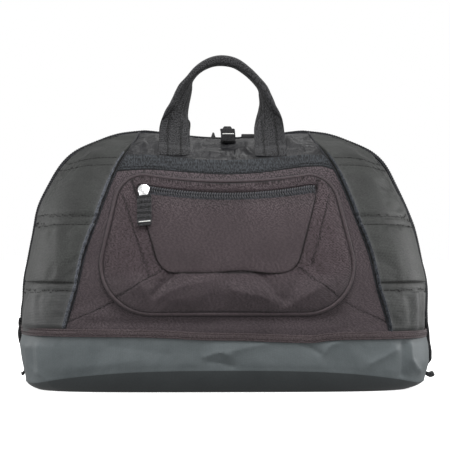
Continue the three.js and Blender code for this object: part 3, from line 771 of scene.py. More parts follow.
@dataclass(frozen=True)
class PaperFloor(Finish):
    """Matt studio paper, pale with a barely seen tooth."""

    tooth: float = 3.0
    # Light through the paper from below, as on a light table
    glow: float = 0.8

    def fixed(self) -> dict[str, object]:
        """The paper's dullness and its glow."""
        return {"Specular IOR Level": 0.0, "Emission Color": (1, 1, 1, 1), "Emission Strength": self.glow}

    def dress(self, tree: Tree, shader: Sockets) -> None:
        """Adds the paper's tooth."""
        place = add_node(tree, "TexCoord", {}, "Object")
        fine = {"Vector": place, "Scale": per_cloud(self.tooth), "Detail": 2.0}
        raised = {"Height": add_node(tree, "TexNoise", fine), "Distance": 0.05 * MM, "Strength": 0.3}
        add_node(tree, "Bump", raised, into=shader["Normal"])


# The canvas's fibre ends follow its twill, up to the right
TWILL_GRAIN = {"slant": math.radians(40), "stretch": (0.55, 1.4, 1.0), "relief": 0.07}
# Brown-black polyester canvas, 600 denier: dull, with a slanted grain and paler yarn ends
CANVAS = WovenCloth(
    "polyester_canvas", "#272122", 0.9, fleck="#50464a", weave=Weave.TWILL, thread=1.15, **TWILL_GRAIN
)
# The same canvas on the recessed panel, a little paler
TONGUE_CANVAS = WovenCloth(
    "paler_canvas", "#2e282a", 0.9, fleck="#51484b", weave=Weave.TWILL, thread=1.15, **TWILL_GRAIN
)
# Canvas cut on the bias over a cord, stretched smooth and a little pinker
PIPING_CLOTH = WovenCloth(
    "piping_cloth", "#2a2325", 0.6, fleck="#483d41", weave=Weave.RIB, thread=1.3, specular=0.3
)
# Narrow woven polyester tape, ribbed along its length
TRIM_TAPE = WovenCloth("trim_tape", "#332c2d", 0.85, fleck="#544b4d", weave=Weave.RIB, thread=1.3)
# Ballistic nylon of the yoke: thick crossing yarns that glint blue-grey
YOKE_CLOTH = WovenCloth("ballistic_nylon", "#17181a", 0.8, fleck="#383b3f", weave=Weave.PLAIN, thread=1.4)
# Coated pack cloth of the quilted panels: grey-black with a soft satin gloss
PACK_CLOTH = CoatedCloth(
    "coated_pack_cloth", "#222322", 0.53, tint="#2d2f2d", specular=0.38, grain=0.5, relief=0.16
)
# The same cloth rolled into a hem, its coating rubbed off to bluish yarn
HEM_CLOTH = WovenCloth("frayed_hem", "#2a2c2f", 0.9, fleck="#5e6168", thread=1.2)
# A darker copy of the same hem, on the right
DARKER_HEM = WovenCloth("darker_hem", "#191b1d", 0.9, fleck="#3d4046", thread=1.2)
# Thin coated nylon of the crown: darker, glossier and full of small creases
TOP_CLOTH = CoatedCloth("coated_crown_nylon", "#121214", 0.36, tint="#1b1b1e", crinkle=0.7, specular=0.42)
# PVC-coated tarpaulin of the tub: blue-grey, satin, with the scrim just showing through
TARPAULIN = CoatedCloth(
    "pvc_tarpaulin", "#505658", 0.55, tint="#5c6264", scrim=1.8, grain=0.06, relief=0.04, specular=0.28
)
# Woven polypropylene webbing: hard ribs across the strap and a dusty black
WEBBING = WovenCloth(
    "woven_webbing", "#121212", 0.85, fleck="#444446", weave=Weave.TWILL, thread=1.3, relief=0.2
)
# Webbing of the pull on the main zip: a blacker and duller copy of the same cloth, painted shade for its
# upturned face
PULL_WEBBING = WovenCloth(
    "pull_webbing", "#0a0a0a", 0.9, fleck="#2a2a2c", thread=1.5, relief=0.5, sheen=0.04, specular=0.1
)
# Herringbone zip tape: thin, black and dull
ZIP_TAPE = WovenCloth("zip_tape_twill", "#0c0c0d", 0.75, fleck="#34353a", weave=Weave.TWILL, thread=1.4)
# Nylon monofilament wound into the zip's teeth
ZIP_TEETH = MouldedNylon("nylon_zip_teeth", "#0c0c0e", 0.5)
# The pocket's teeth, rubbed to a dusty grey
DUSTY_TEETH = MouldedNylon("dusty_zip_teeth", "#29292c", 0.6, dust="#5a5a5e")
# Black-painted zinc sliders, rubbed to grey on their high spots
PAINTED_ZINC = CastMetal("painted_zinc", "#0c0c0d", 0.5, metallic=0.0, scratch="#303032")
# Nickel-plated zinc pull tab, bright
PLATED_ZINC = CastMetal("nickel_plated_zinc", "#f2f2f2", 0.16, metallic=1.0, scratch="#d0d0d2")
# Dark thread of the seams
DARK_THREAD = SewingThread("dark_thread", "#100f0f", 0.8)
# Brown thread of the trim, paler than its tape
BROWN_THREAD = SewingThread("brown_thread", "#4a4143", 0.8)
# White thread of the bar-tacks
WHITE_THREAD = SewingThread("white_thread", "#f4f4f2", 0.6)
# Studio paper
PAPER = PaperFloor("studio_paper", "#f4f4f4", 0.9)


def deselect() -> None:
    """Leaves edit mode and selects nothing."""
    if bpy.context.object and bpy.context.object.mode != "OBJECT":
        bpy.ops.object.mode_set(mode="OBJECT")
    bpy.ops.object.select_all(action="DESELECT")


def take(piece: Piece) -> None:
    """Makes a piece the only one selected, and active."""
    deselect()
    piece.select_set(True)
    bpy.context.view_layer.objects.active = piece


@contextmanager
def editing(piece: Piece, action: str = "SELECT") -> Iterator[None]:
    """Holds a piece in edit mode, with all or nothing of its mesh selected.

    Args:
        piece: The piece.
        action: What is done to the selection first.

    Yields:
        Nothing; the block runs in edit mode.
    """
    take(piece)
    bpy.ops.object.mode_set(mode="EDIT")
    bpy.ops.mesh.select_all(action=action)
    yield
    bpy.ops.object.mode_set(mode="OBJECT")


def apply_all(piece: Piece) -> None:
    """Applies a piece's modifiers in order."""
    take(piece)
    for modifier in list(piece.modifiers):
        bpy.ops.object.modifier_apply(modifier=modifier.name)


def blend(degrees: float) -> None:
    """Shades the selected piece smooth, up to an angle between its faces."""
    bpy.ops.object.shade_smooth_by_angle(angle=math.radians(degrees))


def merge(piece: Piece, distance: float = 0.02) -> None:
    """Merges points that lie together, such as at a closed seam or a pole."""
    with editing(piece):
        bpy.ops.mesh.remove_doubles(threshold=distance * MM)


def cloth_uv(points: Array) -> Array:
    """Flattens a grid of points by the runs along its rows and columns.

    Args:
        points: Rows and columns of points in millimetres.

    Returns:
        Places on the flat cloth in metres, one for each point.
    """
    across, along = (np.linalg.norm(np.diff(points, axis=way), axis=-1) for way in (1, 0))
    u = np.pad(np.cumsum(across, axis=1), ((0, 0), (1, 0)))
    u -= u[:, u.shape[1] // 2, None]
    v = np.pad(np.cumsum(along, axis=0), ((1, 0), (0, 0)))
    return np.stack([u, v], axis=-1) * MM


def front_uv(points: Array) -> Array:
    """Flattens points of the front by their place across and their run up the front."""
    return np.stack([points[..., 0], points[..., 2] - 0.5 * points[..., 1]], axis=-1) * MM


def cloth_grid(name: str, points: Array, uv: Array) -> Piece:
    """Adds a grid and lays its points where the cloth goes.

    Args:
        name: Name of the piece.
        points: Rows and columns of points in millimetres, columns to the right seen from outside.
        uv: Places on the flat cloth in metres.

    Returns:
        The piece, one layer thick.
    """
    rows, columns = points.shape[:2]
    deselect()
    bpy.ops.mesh.primitive_grid_add(x_subdivisions=columns - 1, y_subdivisions=rows - 1, size=1)
    piece = bpy.context.object
    mesh = piece.data
    piece.name = mesh.name = name
    move_to(piece, points)
    corners = np.empty(len(mesh.loops), np.int32)
    mesh.loops.foreach_get("vertex_index", corners)
    flat = uv.reshape(-1, 2)[corners]
    mesh.uv_layers.active.data.foreach_set("uv", flat.astype(np.float32).ravel())
    return piece


def move_to(piece: Piece, points: Array) -> None:
    """Moves a piece's points to places in millimetres."""
    piece.data.vertices.foreach_set("co", (points * MM).astype(np.float32).ravel())
    piece.data.update()


def points_of(piece: Piece) -> Array:
    """A piece's points in millimetres."""
    flat = np.empty(len(piece.data.vertices) * 3, np.float32)
    piece.data.vertices.foreach_get("co", flat)
    return flat.reshape(-1, 3).astype(float) / MM


def mark(piece: Piece, name: str, values: Array) -> None:
    """Keeps a value for each point of a piece, for its material to read."""
    attribute = piece.data.attributes.new(name, "FLOAT", "POINT")
    attribute.data.foreach_set("value", np.clip(values, 0, 1).astype(np.float32).ravel())


@dataclass(frozen=True)
class Relax:
    """A short cloth simulation that lets a sewn panel puff and pucker between its held lines."""

    pressure: float
    growth: float
    cap: float
    bending: float = 0.4
    frames: int = 20

    def run(self, piece: Piece, held: Array) -> None:
        """Simulates the panel and keeps the result in its mesh.

        Args:
            piece: The panel, one layer thick.
            held: How firmly each point is held, from 0 to 1.
        """
        start = points_of(piece)
        group = piece.vertex_groups.new(name="held")
        for index, weight in enumerate(held.ravel()):
            group.add([index], float(weight), "REPLACE")
        cloth = piece.modifiers.new("relax", "CLOTH")
        settings = {
            "quality": 6, "mass": 0.02, "tension_stiffness": 12, "compression_stiffness": 12,
            "shear_stiffness": 4, "bending_stiffness": self.bending, "vertex_group_mass": group.name,
            "shrink_min": -self.growth, "use_pressure": True, "uniform_pressure_force": self.pressure,
        }
        for name, value in settings.items():
            setattr(cloth.settings, name, value)
        cloth.settings.effector_weights.gravity = 0
        cloth.collision_settings.use_collision = False
        cloth.point_cache.frame_end = self.frames
        for step in range(1, self.frames + 1):
            bpy.context.scene.frame_set(step)
        apply_all(piece)
        bpy.context.scene.frame_set(1)
        piece.vertex_groups.clear()
        motion = points_of(piece) - start
        reach = np.linalg.norm(motion, axis=1, keepdims=True)
        move_to(piece, start + motion * np.minimum(1, self.cap / np.maximum(reach, 1e-6)))
        log.info("%s relaxed, moved up to %.1f mm", piece.name, reach.max())


class Skin:
    """The outer faces of finished pieces, for setting lines of thread down on them."""

    def __init__(self, *pieces: Piece) -> None:
        """Gathers the pieces' faces.

        Args:
            *pieces: Finished pieces.
        """
        points: list[Vector] = []
        faces: list[tuple[int, ...]] = []
        for piece in pieces:
            first = len(points)
            points += [v.co / MM for v in piece.data.vertices]
            faces += [tuple(first + i for i in face.vertices) for face in piece.data.polygons]
        self.tree = BVHTree.FromPolygons(points, faces)

    def touch(self, line: Array) -> tuple[Array, Array]:
        """Sets a line that hovers over the cloth down on it; gives its points and outward directions."""
        found = [self.tree.find_nearest(Vector(p)) for p in line]
        return np.array([f[0] for f in found]), np.array([f[1] for f in found])


def bead_seed(length: float, width: float, height: float) -> Seed:
    """Models one small rounded bar, to be copied many times.

    Args:
        length: Size along its own X.
        width: Size along its own Y.
        height: Size along its own Z.

    Returns:
        Its points in millimetres and its triangles.
    """
    deselect()
    bpy.ops.mesh.primitive_uv_sphere_add(segments=6, ring_count=4, radius=0.5, rotation=(0, math.pi / 2, 0))
    bar = bpy.context.object
    bpy.ops.object.transform_apply(rotation=True)
    with editing(bar):
        bpy.ops.transform.resize(value=(length, width, height))
        bpy.ops.mesh.quads_convert_to_tris()
    points = np.array([v.co for v in bar.data.vertices])
    faces = np.array([tuple(f.vertices) for f in bar.data.polygons])
    bpy.data.objects.remove(bar)
    return points, faces


def scatter(name: str, seed: Seed, places: Array, axes: Array) -> Piece:
    """Joins many copies of a small shape into one piece.

    Args:
        name: Name of the piece.
        seed: Points and triangles of the shape.
        places: Place of each copy.
        axes: The three axes of each copy, one row each.

    Returns:
        The joined piece.
    """
    points, faces = seed
    copies = places[:, None, :] + np.einsum("vk,nkd->nvd", points, axes)
    shifts = (np.arange(len(places)) * len(points))[:, None, None]
    mesh = bpy.data.meshes.new(name)
    corners = (faces[None] + shifts).reshape(-1, 3).tolist()
    mesh.from_pydata((copies.reshape(-1, 3) * MM).tolist(), [], corners)
    piece = bpy.data.objects.new(name, mesh)
    bpy.context.scene.collection.objects.link(piece)
    take(piece)
    bpy.ops.object.shade_smooth()
    return piece


def scatter_teeth(name: str, line: Array, pitch: float, tooth: tuple[float, ...], across: Array) -> Piece:
    """Lays pairs of slanted zip teeth along a line, a herringbone.

    Args:
        name: Name of the piece.
        line: Points along the middle of the zip.
        pitch: Distance from pair to pair.
        tooth: Length, width and height of a tooth.
        across: Direction across the zip.

    Returns:
        All the teeth as one piece.
    """
    even = resample(line, pitch)
    ahead = unit(np.gradient(even, axis=0))
    aside = unit(across - ahead * (ahead @ across)[:, None])
    up = np.cross(ahead, aside)
    places, axes = [], []
    for hand in (-1, 1):
        slant = unit(aside * hand + ahead * 0.45)
        places.append(even + aside * hand * tooth[0] * 0.36)
        axes.append(np.stack([slant, np.cross(up, slant), up], axis=1))
    return scatter(name, bead_seed(*tooth), np.concatenate(places), np.concatenate(axes))


@dataclass(frozen=True)
class Sewing:
    """Rows of lockstitch: short lengths of thread that dip into the cloth at both ends."""

    length: float = 2.8
    gap: float = 1.0
    width: float = 0.7
    sink: float = 0.08

    def sew(self, name: str, skin: Skin, lines: Sequence[Array]) -> Piece:
        """Sews along lines over finished cloth.

        Args:
            name: Name of the stitching.
            skin: The cloth that is sewn.
            lines: Lines of points that hover over the cloth.

        Returns:
            All the stitches as one piece.
        """
        places, axes = [], []
        for line in lines:
            on, out = skin.touch(resample(line, 1.0))
            run = runs(on)
            for start in np.arange(0.6, run[-1] - self.length, self.length + self.gap):
                ends = [[np.interp(start + s, run, column) for column in on.T] for s in (0, self.length)]
                middle = np.argmin(np.abs(run - start - self.length / 2))
                ahead = unit(np.subtract(ends[1], ends[0]))
                aside = unit(np.cross(out[middle], ahead))
                up = np.cross(ahead, aside)
                places.append(on[middle] + up * self.sink)
                axes.append([ahead, aside, up])
        seed = bead_seed(self.length + 0.6, self.width, self.width * 0.8)
        return scatter(name, seed, np.array(places), np.array(axes))


def bar_tack(name: str, skin: Skin, place: Array, width: float, zag: float) -> Piece:
    """Sews a white zig-zag across a pull.

    Args:
        name: Name of the stitching.
        skin: The pull's surface.
        place: Middle of the bar-tack, hovering over the pull.
        width: Its width.
        zag: How far it swings up and down.

    Returns:
        The stitching.
    """
    across = np.linspace(-width / 2, width / 2, 19)
    zig = np.where(np.arange(19) % 2 == 0, -zag, zag)
    on, out = skin.touch(place + across[:, None] * [1, 0, 0] + zig[:, None] * [0, 0, 1])
    step = np.diff(on, axis=0)
    ahead = unit(step)
    aside = unit(np.cross(out[:-1], ahead))
    axes = np.stack([ahead, aside, np.cross(ahead, aside)], axis=1)
    length = float(np.linalg.norm(step, axis=1).mean()) + 0.7
    return scatter(name, bead_seed(length, 1.1, 1.1), (on[:-1] + on[1:]) / 2 + out[:-1] * 0.25, axes)


def strap(
    name: str, centers: Array, sides: Array, sizes: Sequence[Numbers], around: int = 28,
    pressed: Callable[[Array, Array], Array] | None = None,
) -> Piece:
    """Sweeps a strap's rounded section along its line and closes its ends.

    Args:
        name: Name of the piece.
        centers: Points along the middle of the strap.
        sides: Direction across the strap, one for all points or one for each.
        sizes: Width, thickness and squareness of the section, one for all points or one for each.
        around: How many spans the section has.
        pressed: Depth, from 0 to 1, of sewn or folded lines at a height and a share across; they are pressed
            in and painted with shade.

    Returns:
        The strap, closed and shaded.
    """
    wide, thick, square = (np.broadcast_to(size, len(centers))[:, None] for size in sizes)
    ahead = unit(np.gradient(centers, axis=0))
    aside = unit(sides - ahead * np.sum(sides * ahead, axis=1, keepdims=True))
    up = np.cross(ahead, aside)
    over = np.sin(np.linspace(math.pi / 2, -math.pi / 2, around // 2 + 1))
    across = np.concatenate([over, over[-2::-1]])[None]
    face = np.where(np.arange(across.size) < over.size, 1, -1)
    thick = thick / 2 * FORM.rest(across, square)
    depth = pressed(centers[:, 2:3], across) if pressed else 0 * thick
    a, b = wide / 2 * across, face * (thick - np.minimum(0.5 * depth, 0.5 * thick))
    points = centers[:, None] + a[..., None] * aside[:, None] + b[..., None] * up[:, None]
    points = np.concatenate([points[:1] * 0 + centers[0], points, points[-1:] * 0 + centers[-1]])
    piece = cloth_grid(name, points, cloth_uv(points))
    # The pressed lines are painted dark too: painted shade in their grooves
    mark(piece, "seam", 0.75 * np.pad(depth, ((1, 1), (0, 0))))
    merge(piece)
    blend(55)
    return piece


def soften(piece: Piece, width: float) -> None:
    """Rounds a hard piece's edges and shades it."""
    bevel = piece.modifiers.new("edges", "BEVEL")
    bevel.width, bevel.segments, bevel.limit_method = width * MM, 3, "ANGLE"
    apply_all(piece)
    blend(40)


def block(name: str, low: Vector, high: Vector) -> Piece:
    """Adds a block between two corners, with its place in its mesh.

    Args:
        name: Name of the piece.
        low: Lowest corner in metres.
        high: Highest corner in metres.

    Returns:
        The block.
    """
    deselect()
    bpy.ops.mesh.primitive_cube_add(size=1, location=(low + high) / 2)
    piece = bpy.context.object
    piece.name = name
    with editing(piece):
        bpy.ops.transform.resize(value=tuple(high - low))
    bpy.ops.object.transform_apply(location=True)
    return piece


def shape_top(
    piece: Piece, inset: float, rise: float, narrow: float = 1.0, taper: tuple[float, float] = (1.0, 1.0)
) -> None:
    """Tapers a block's top, insets it, sinks or raises the inner face, narrows it and softens all edges.

    Args:
        piece: The block.
        inset: Width of the rim.
        rise: How far the inner face moves up.
        narrow: How far the inner face narrows front to back.
        taper: How far the whole top narrows across and deep.
    """
    with editing(piece, "DESELECT"):
        bpy.ops.mesh.select_mode(type="FACE")
    for face in piece.data.polygons:
        face.select = face.normal.z > 0.9
    bpy.ops.object.mode_set(mode="EDIT")
    bpy.ops.transform.resize(value=(*taper, 1))
    bpy.ops.mesh.inset(thickness=inset * MM, depth=rise * MM)
    bpy.ops.transform.resize(value=(1, narrow, 1))
    bpy.ops.object.mode_set(mode="OBJECT")
    soften(piece, 0.7)


@dataclass
class Assembly:
    """A sub-assembly of the bag, with the pieces that it has made."""

    pieces: list[Piece] = field(default_factory=list, init=False)

    def fit(self, piece: Piece, finish: Finish, slot: str = "", *nodes: str) -> Piece:
        """Dresses a finished piece and sets it on the bag's one body.

        Args:
            piece: The finished piece.
            finish: Its finish.
            slot: Not used.
            *nodes: Solids of the frame that it replaces.

        Returns:
            The piece.
        """
        piece.data.materials.clear()
        piece.data.materials.append(finish.material())
        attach(piece, BODY)
        if nodes:
            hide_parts(*nodes)
        self.pieces.append(piece)
        return piece

    def cloth(
        self, name: str, points: Array, wall: float, finish: Finish, slot: str, *nodes: str,
        flatten: Callable[[Array], Array] = cloth_uv, relax: Relax | None = None, held: Numbers = 1.0,
        seam: Numbers = 0.0, painted_light_and_tone: Numbers = 0.0, closed: bool = False, fill: float = 0.0,
    ) -> Piece:
        """Makes a panel of cloth with its wall inwards, and fits it.

        Args:
            name: Name of the piece.
            points: Rows and columns of points, columns to the right seen from outside.
            wall: Thickness of the cloth.
            finish: Its finish.
            slot: The record's material slot.
            *nodes: Solids of the frame that it replaces.
            flatten: How the points are laid flat for the weave.
            relax: A simulation that the panel goes through.
            held: How firmly each point is held in it.
            seam: How far each point is painted dark: painted shade in seams, creases and under edges, and a
                dark tone.
            painted_light_and_tone: How far each point is painted paler: painted light and highlights, and a
                paler tone.
            closed: Whether the panel meets itself, so that its points are merged.
            fill: Not used.

        Returns:
            The piece.
        """
        piece = cloth_grid(name, points, flatten(points))
        if relax:
            relax.run(piece, held)
        for kind, values in (("seam", seam), ("painted_light_and_tone", painted_light_and_tone)):
            if np.any(values):
                mark(piece, kind, np.broadcast_to(values, points.shape[:2]))
        if closed:
            merge(piece)
        solid = piece.modifiers.new("wall", "SOLIDIFY")
        solid.thickness, solid.offset = wall * MM, -1
        apply_all(piece)
        blend(50)
        return self.fit(piece, finish, slot, *nodes)


@cache
def section(z: float, columns: int) -> Array:
    """A whole section of the form, divided once for each height."""
    return np.stack(FORM.ring(z, columns))


@dataclass
class Tub(Assembly):
    """The coated tub that the bag stands on, with its trim tape."""

    rim: float = 57.0
    wall: float = 2.0
    foot: tuple[float, float, float] = (196, 116, 4.2)
    foot_shift: float = -2
    crease_low: float = 8
    crease_rise: float = 15
    crease_reach: float = 200
    # Height, and how far the left and the right side bulge there
    bulge: Rows = (
        (8, 2.5, 3.2), (12, 1.4, 3.0), (16, 0.6, 2.4), (20, 0.3, 2.8), (28.6, 0.7, 3.6), (35, 1.0, 2.6),
        (41.5, 1.2, 1.2), (46, 1.4, 0.2), (50, 0.2, -1.0), (57, -1.8, -2.5),
    )
    columns: int = 600
    trim_low: float = 52.0
    trim_high: float = 60.0
    trim_lift: float = 2.2
    trim_wall: float = 1.2
    # How far the trim is drawn in under the zip's ends, left and right
    trim_tuck: tuple[float, float] = (2.7, 3.4)
    # Creases and slack places of the coated cloth on the front
    folds: tuple[Fold, ...] = (
        Fold(((-24, 37), (-15, 40.5), (-6, 42), (0, 39)), 4, 2.8),
        Fold(((-18, 32), (-6, 30.5), (4, 28)), 4, -2.8), Fold(((0, 42), (12, 45), (35, 50)), 5, 1.7),
        Fold(((76, 53), (94, 40)), 3.5, -3.0), Fold(((97, 40), (104, 49), (112, 52)), 4, 2.4),
        Fold(((146, 30), (159, 36), (173, 43)), 4.5, 2.4), Fold(((181, 54), (181, 18)), 5, -3.2),
        Fold(((189, 50), (188.5, 33), (193, 25), (198, 20)), 3.5, 3.2),
        Fold(((-194, 48), (-193, 19)), 3, 1.5), Fold(((-200, 48), (-199, 22)), 3.5, -1.6),
        Fold(((-206, 46), (-205, 25)), 3.5, 1.3), Fold(((-200, 22), (-180, 9)), 5, 1.8),
        Fold(((-150, 26), (-90, 34)), 9, 1.2), Fold(((-120, 48), (-60, 40)), 9, -1.0),
    )

    def build(self) -> None:
        """Makes the tub, the trim and the trim's two rows of stitches."""
        self.tub()
        trim = self.trim()
        rows = [self.trim_line(z) for z in self.trim_rows()]
        self.fit(Sewing(width=0.9).sew("trim_stitching", Skin(trim), rows), BROWN_THREAD)

    def crease(self, x: Array) -> Array:
        """Height of the arched crease over the foot."""
        return self.crease_low + self.crease_rise * (1 - np.minimum(np.abs(x) / self.crease_reach, 1) ** 3)

    def tub(self) -> None:
        """Lofts the tub from the middle of its foot to its rim."""
        x, y = FORM.ring(20, self.columns)
        crease = self.crease(x)
        rim = self.rim + FORM.trim_wave(x, y)
        walls = []
        for rise in np.linspace(0, 1, 24):
            z = crease + (rim - crease) * rise
            around = [section(round(float(level), 1), self.columns)[:, i] for i, level in enumerate(z)]
            across, deep = np.array(around).T
            rolled = -1.3 * hump(rise, 0, 0.14)
            walls.append(FORM.lay(across, deep, z, rolled + self.slack(across, deep, z)))
        foot_x, foot_y = FORM.whole(*FORM.rounded(*self.foot), self.columns)
        foot = np.stack([foot_x + self.foot_shift, foot_y, 0 * foot_x], axis=-1)
        out = unit(np.stack([foot_x, foot_y, np.full_like(foot_x, -60.0)], axis=-1))
        shares = np.append(np.linspace(0, 1, 10)[1:-1], 0.98)
        under = [foot + (walls[0] - foot) * s + out * 1.6 * math.sin(math.pi * s) for s in shares]
        floor = [foot * size for size in (0, 0.25, 0.5, 0.75, 0.9, 0.97, 1)]
        points = np.stack([*floor, *under, *walls])
        points[..., 2] = np.maximum(points[..., 2], 0)
        # The foot on the floor and the under-panel below the crease are painted dark: the dark tone of the
        # black base cloth, with painted shade deepening towards the foot
        shade = np.concatenate([np.full(len(floor), 0.95), 0.74 - 0.22 * shares, np.zeros(len(walls))])
        seam = shade[:, None]
        self.cloth("tub", points, self.wall, TARPAULIN, "tarpaulin", "base_tub", seam=seam, closed=True)

    def slack(self, x: Array, y: Array, z: Array) -> Array:
        """How far the coated cloth bulges or dents off the form.

        Args:
            x: Places across.
            y: Places deep.
            z: Places up.

        Returns:
            One height for each place.
        """
        soft = 0.7 * crumple(x, y, z * 1.6, 46, 3.0) + 0.25 * crumple(x, y, z * 1.6, 19, 8.0)
        front = folded(self.folds, x, z, 1.0)
        left, right = (side(z) for side in curves(self.bulge))
        sides = np.where(x < 0, left, right) * ease(np.abs(x), 165, 208)
        pressed = 1 - 0.9 * hump(y, 0, 14) * (sides > 0)
        return (soft + np.where(y < 0, front, 0)) * (1 - ease(z, 48, 56)) + sides * pressed

    def trim_rows(self) -> tuple[float, float]:
        """Heights of the trim's two rows of stitches."""
        return self.trim_low + 1.9, self.trim_high - 2.1

    def trim_line(self, z: float) -> Array:
        """A line round the bag that hovers over the trim."""
        x, y = FORM.ring(z, 600)
        return FORM.lay(x, y, z + FORM.trim_wave(x, y), self.trim_lift + 2)

    def trim(self) -> Piece:
        """Makes the trim tape with its two pressed stitch rows.

        Returns:
            The trim.
        """
        rows = []
        for z in np.linspace(self.trim_low, self.trim_high, 13):
            x, y = FORM.ring(float(z), 480)
            edge = min(z - self.trim_low, self.trim_high - z)
            pressed = 0.55 * sum(hump(z, row, 0.8) for row in self.trim_rows())
            tuck = np.where(x < 0, *self.trim_tuck) * ease(np.abs(x), 190, 214)
            height = self.trim_lift - 0.7 * math.exp(-edge / 0.6) - pressed - tuck
            rows.append(FORM.lay(x, y, z + FORM.trim_wave(x, y), height))
        points = np.stack(rows)
        return self.cloth("trim", points, self.trim_wall, TRIM_TAPE, "polyester", "base_trim", closed=True)


@dataclass
class MiddlePanels(Assembly):
    """The canvas front, the yoke over it and the crown cloth up to the zip."""

    foot: float = 57.4
    yoke_low: float = 228.0
    yoke_high: float = 244.0
    crown_edge: float = 269.0
    zip_edge: float = 12.0
    seam_gap: float = 0.25
    wall: float = 2.0
    # Seams from the pocket's lower corners to the wings
    seams: tuple[FrontLine, ...] = (FrontLine(((-163, 72), (-112, 95))), FrontLine(((167, 69), (118, 93))))
    folds: tuple[Fold, ...] = (
        Fold(((-145, 79), (-85, 80), (-28, 77)), 4, 1.0), Fold(((-140, 71), (-75, 73), (-13, 72)), 4, -1.3),
        Fold(((-160, 84), (-128, 98)), 6, -0.9), Fold(((-20, 66), (110, 67)), 4, 0.9),
        Fold(((110, 64), (160, 72)), 5, -0.8), Fold(((-152, 104), (-142, 122)), 6, 0.8),
    )
    # Pulls and creases of the crown cloth by the handle's feet
    crown_folds: tuple[Fold, ...] = (
        Fold(((6, 256), (8.3, 247)), 1.8, 1.8), Fold(((11.3, 256.5), (9.5, 247)), 1.8, 1.8),
        Fold(((8.7, 256), (8.8, 251)), 2.0, -1.4), Fold(((21.5, 257), (26, 251.5), (32, 246)), 2.2, 2.2),
        Fold(((24.5, 258.5), (28, 255)), 2.5, 1.6), Fold(((-1.5, 254), (0.6, 249.5)), 2.0, 1.2),
        Fold(((-36, 250), (-18, 254), (-6, 251)), 5, 3.0), Fold(((-32, 246), (0, 247)), 4, -2.4),
        Fold(((-24, 261), (20, 260)), 4, -2.4), Fold(((68, 262), (92, 247)), 6, 2.8),
        Fold(((78, 256), (62, 247)), 5, -1.2), Fold(((-73, 262), (-96, 247)), 6, 2.8),
        Fold(((-82, 257), (-74, 247)), 5, -1.2),
    )

    def build(self) -> None:
        """Makes the three panels and their stitching."""
        panel = self.front_panel()
        yoke = self.yoke()
        self.crown()
        half = float(FORM.seam(self.yoke_low)) - 3
        across = np.linspace(-half, half, 120)
        lines = [FORM.front(across, self.yoke_low + 2.2 + FORM.yoke_edge(across), 3)]
        lines += [FORM.front(*seam.fine().T, 3) for seam in self.seams]
        self.fit(Sewing().sew("panel_stitching", Skin(panel, yoke), lines), DARK_THREAD)

    def grid(self, low: float, high: float, rows: int, columns: int) -> tuple[Array, Array]:
        """Places of a panel between the two wings.

        Args:
            low: Height of its foot.
            high: Height of its top.
            rows: How many spans up.
            columns: How many spans across.

        Returns:
            Places across and up.
        """
        z = np.repeat(np.linspace(low, high, rows + 1)[:, None], columns + 1, axis=1)
        x = np.linspace(-1, 1, columns + 1) * (FORM.seam(z) - self.seam_gap)
        return x, z

    def front_panel(self) -> Piece:
        """Makes the canvas front, with its seams pressed in.

        Returns:
            The panel.
        """
        x, z = self.grid(self.foot, self.yoke_low, 86, 150)
        top = self.yoke_low + FORM.yoke_edge(x)
        z = z + (top - self.yoke_low) * ((z - self.foot) / (self.yoke_low - self.foot)) ** 8
        gaps = nearest_gap(self.seams, x, z)
        height = folded(self.folds, x, z) + 0.5 * crumple(x, 0 * x, z, 26, 1.0) - 0.4 * hump(gaps, 0, 1.3)
        height = height * ease(z, self.foot, self.foot + 6) * ease(top - z, 0, 3)
        height = np.minimum(height, 0.8) - 0.8 * np.exp(-(top - z) / 1.2)
        loop = FrontLine(tuple(map(tuple, rounded_loop(PIPING_CORNERS, 160))))
        # Painted shadow of the pocket's piping on the panel, and painted shade along the seams; the whole
        # panel is painted a little paler in tone
        shadow = 0.9 * (1 - ease(loop.distance(x, z + FORM.sag(x, z) - 1.0), 2.2, 3.6))
        return self.cloth(
            "front_panel_cloth", FORM.front(x, z, height), self.wall, CANVAS, "polyester", "front_panel",
            flatten=front_uv, seam=np.maximum(0.4 * hump(gaps, 0, 0.8), shadow), painted_light_and_tone=0.05,
        )

    def yoke(self) -> Piece:
        """Makes the yoke, its foot turned under and sewn.

        Returns:
            The yoke.
        """
        x, z = self.grid(self.yoke_low + 0.1, self.yoke_high, 16, 130)
        z = z + FORM.yoke_edge(x) * (self.yoke_high - z) / (self.yoke_high - self.yoke_low)
        rise = z - self.yoke_low - FORM.yoke_edge(x)
        height = 0.7 - 1.2 * np.exp(-rise / 0.7) - 0.5 * hump(rise, 2.2, 0.9)
        height = height + 0.4 * crumple(x, 0 * x, z, 22, 5.0)
        # The yoke's turned-under foot is painted dark: painted shade under its edge
        return self.cloth(
            "yoke", FORM.front(x, z, height), self.wall, YOKE_CLOTH, "yoke_weave", "yoke_band",
            flatten=front_uv, seam=0.8 * np.exp(-rise / 0.8),
        )

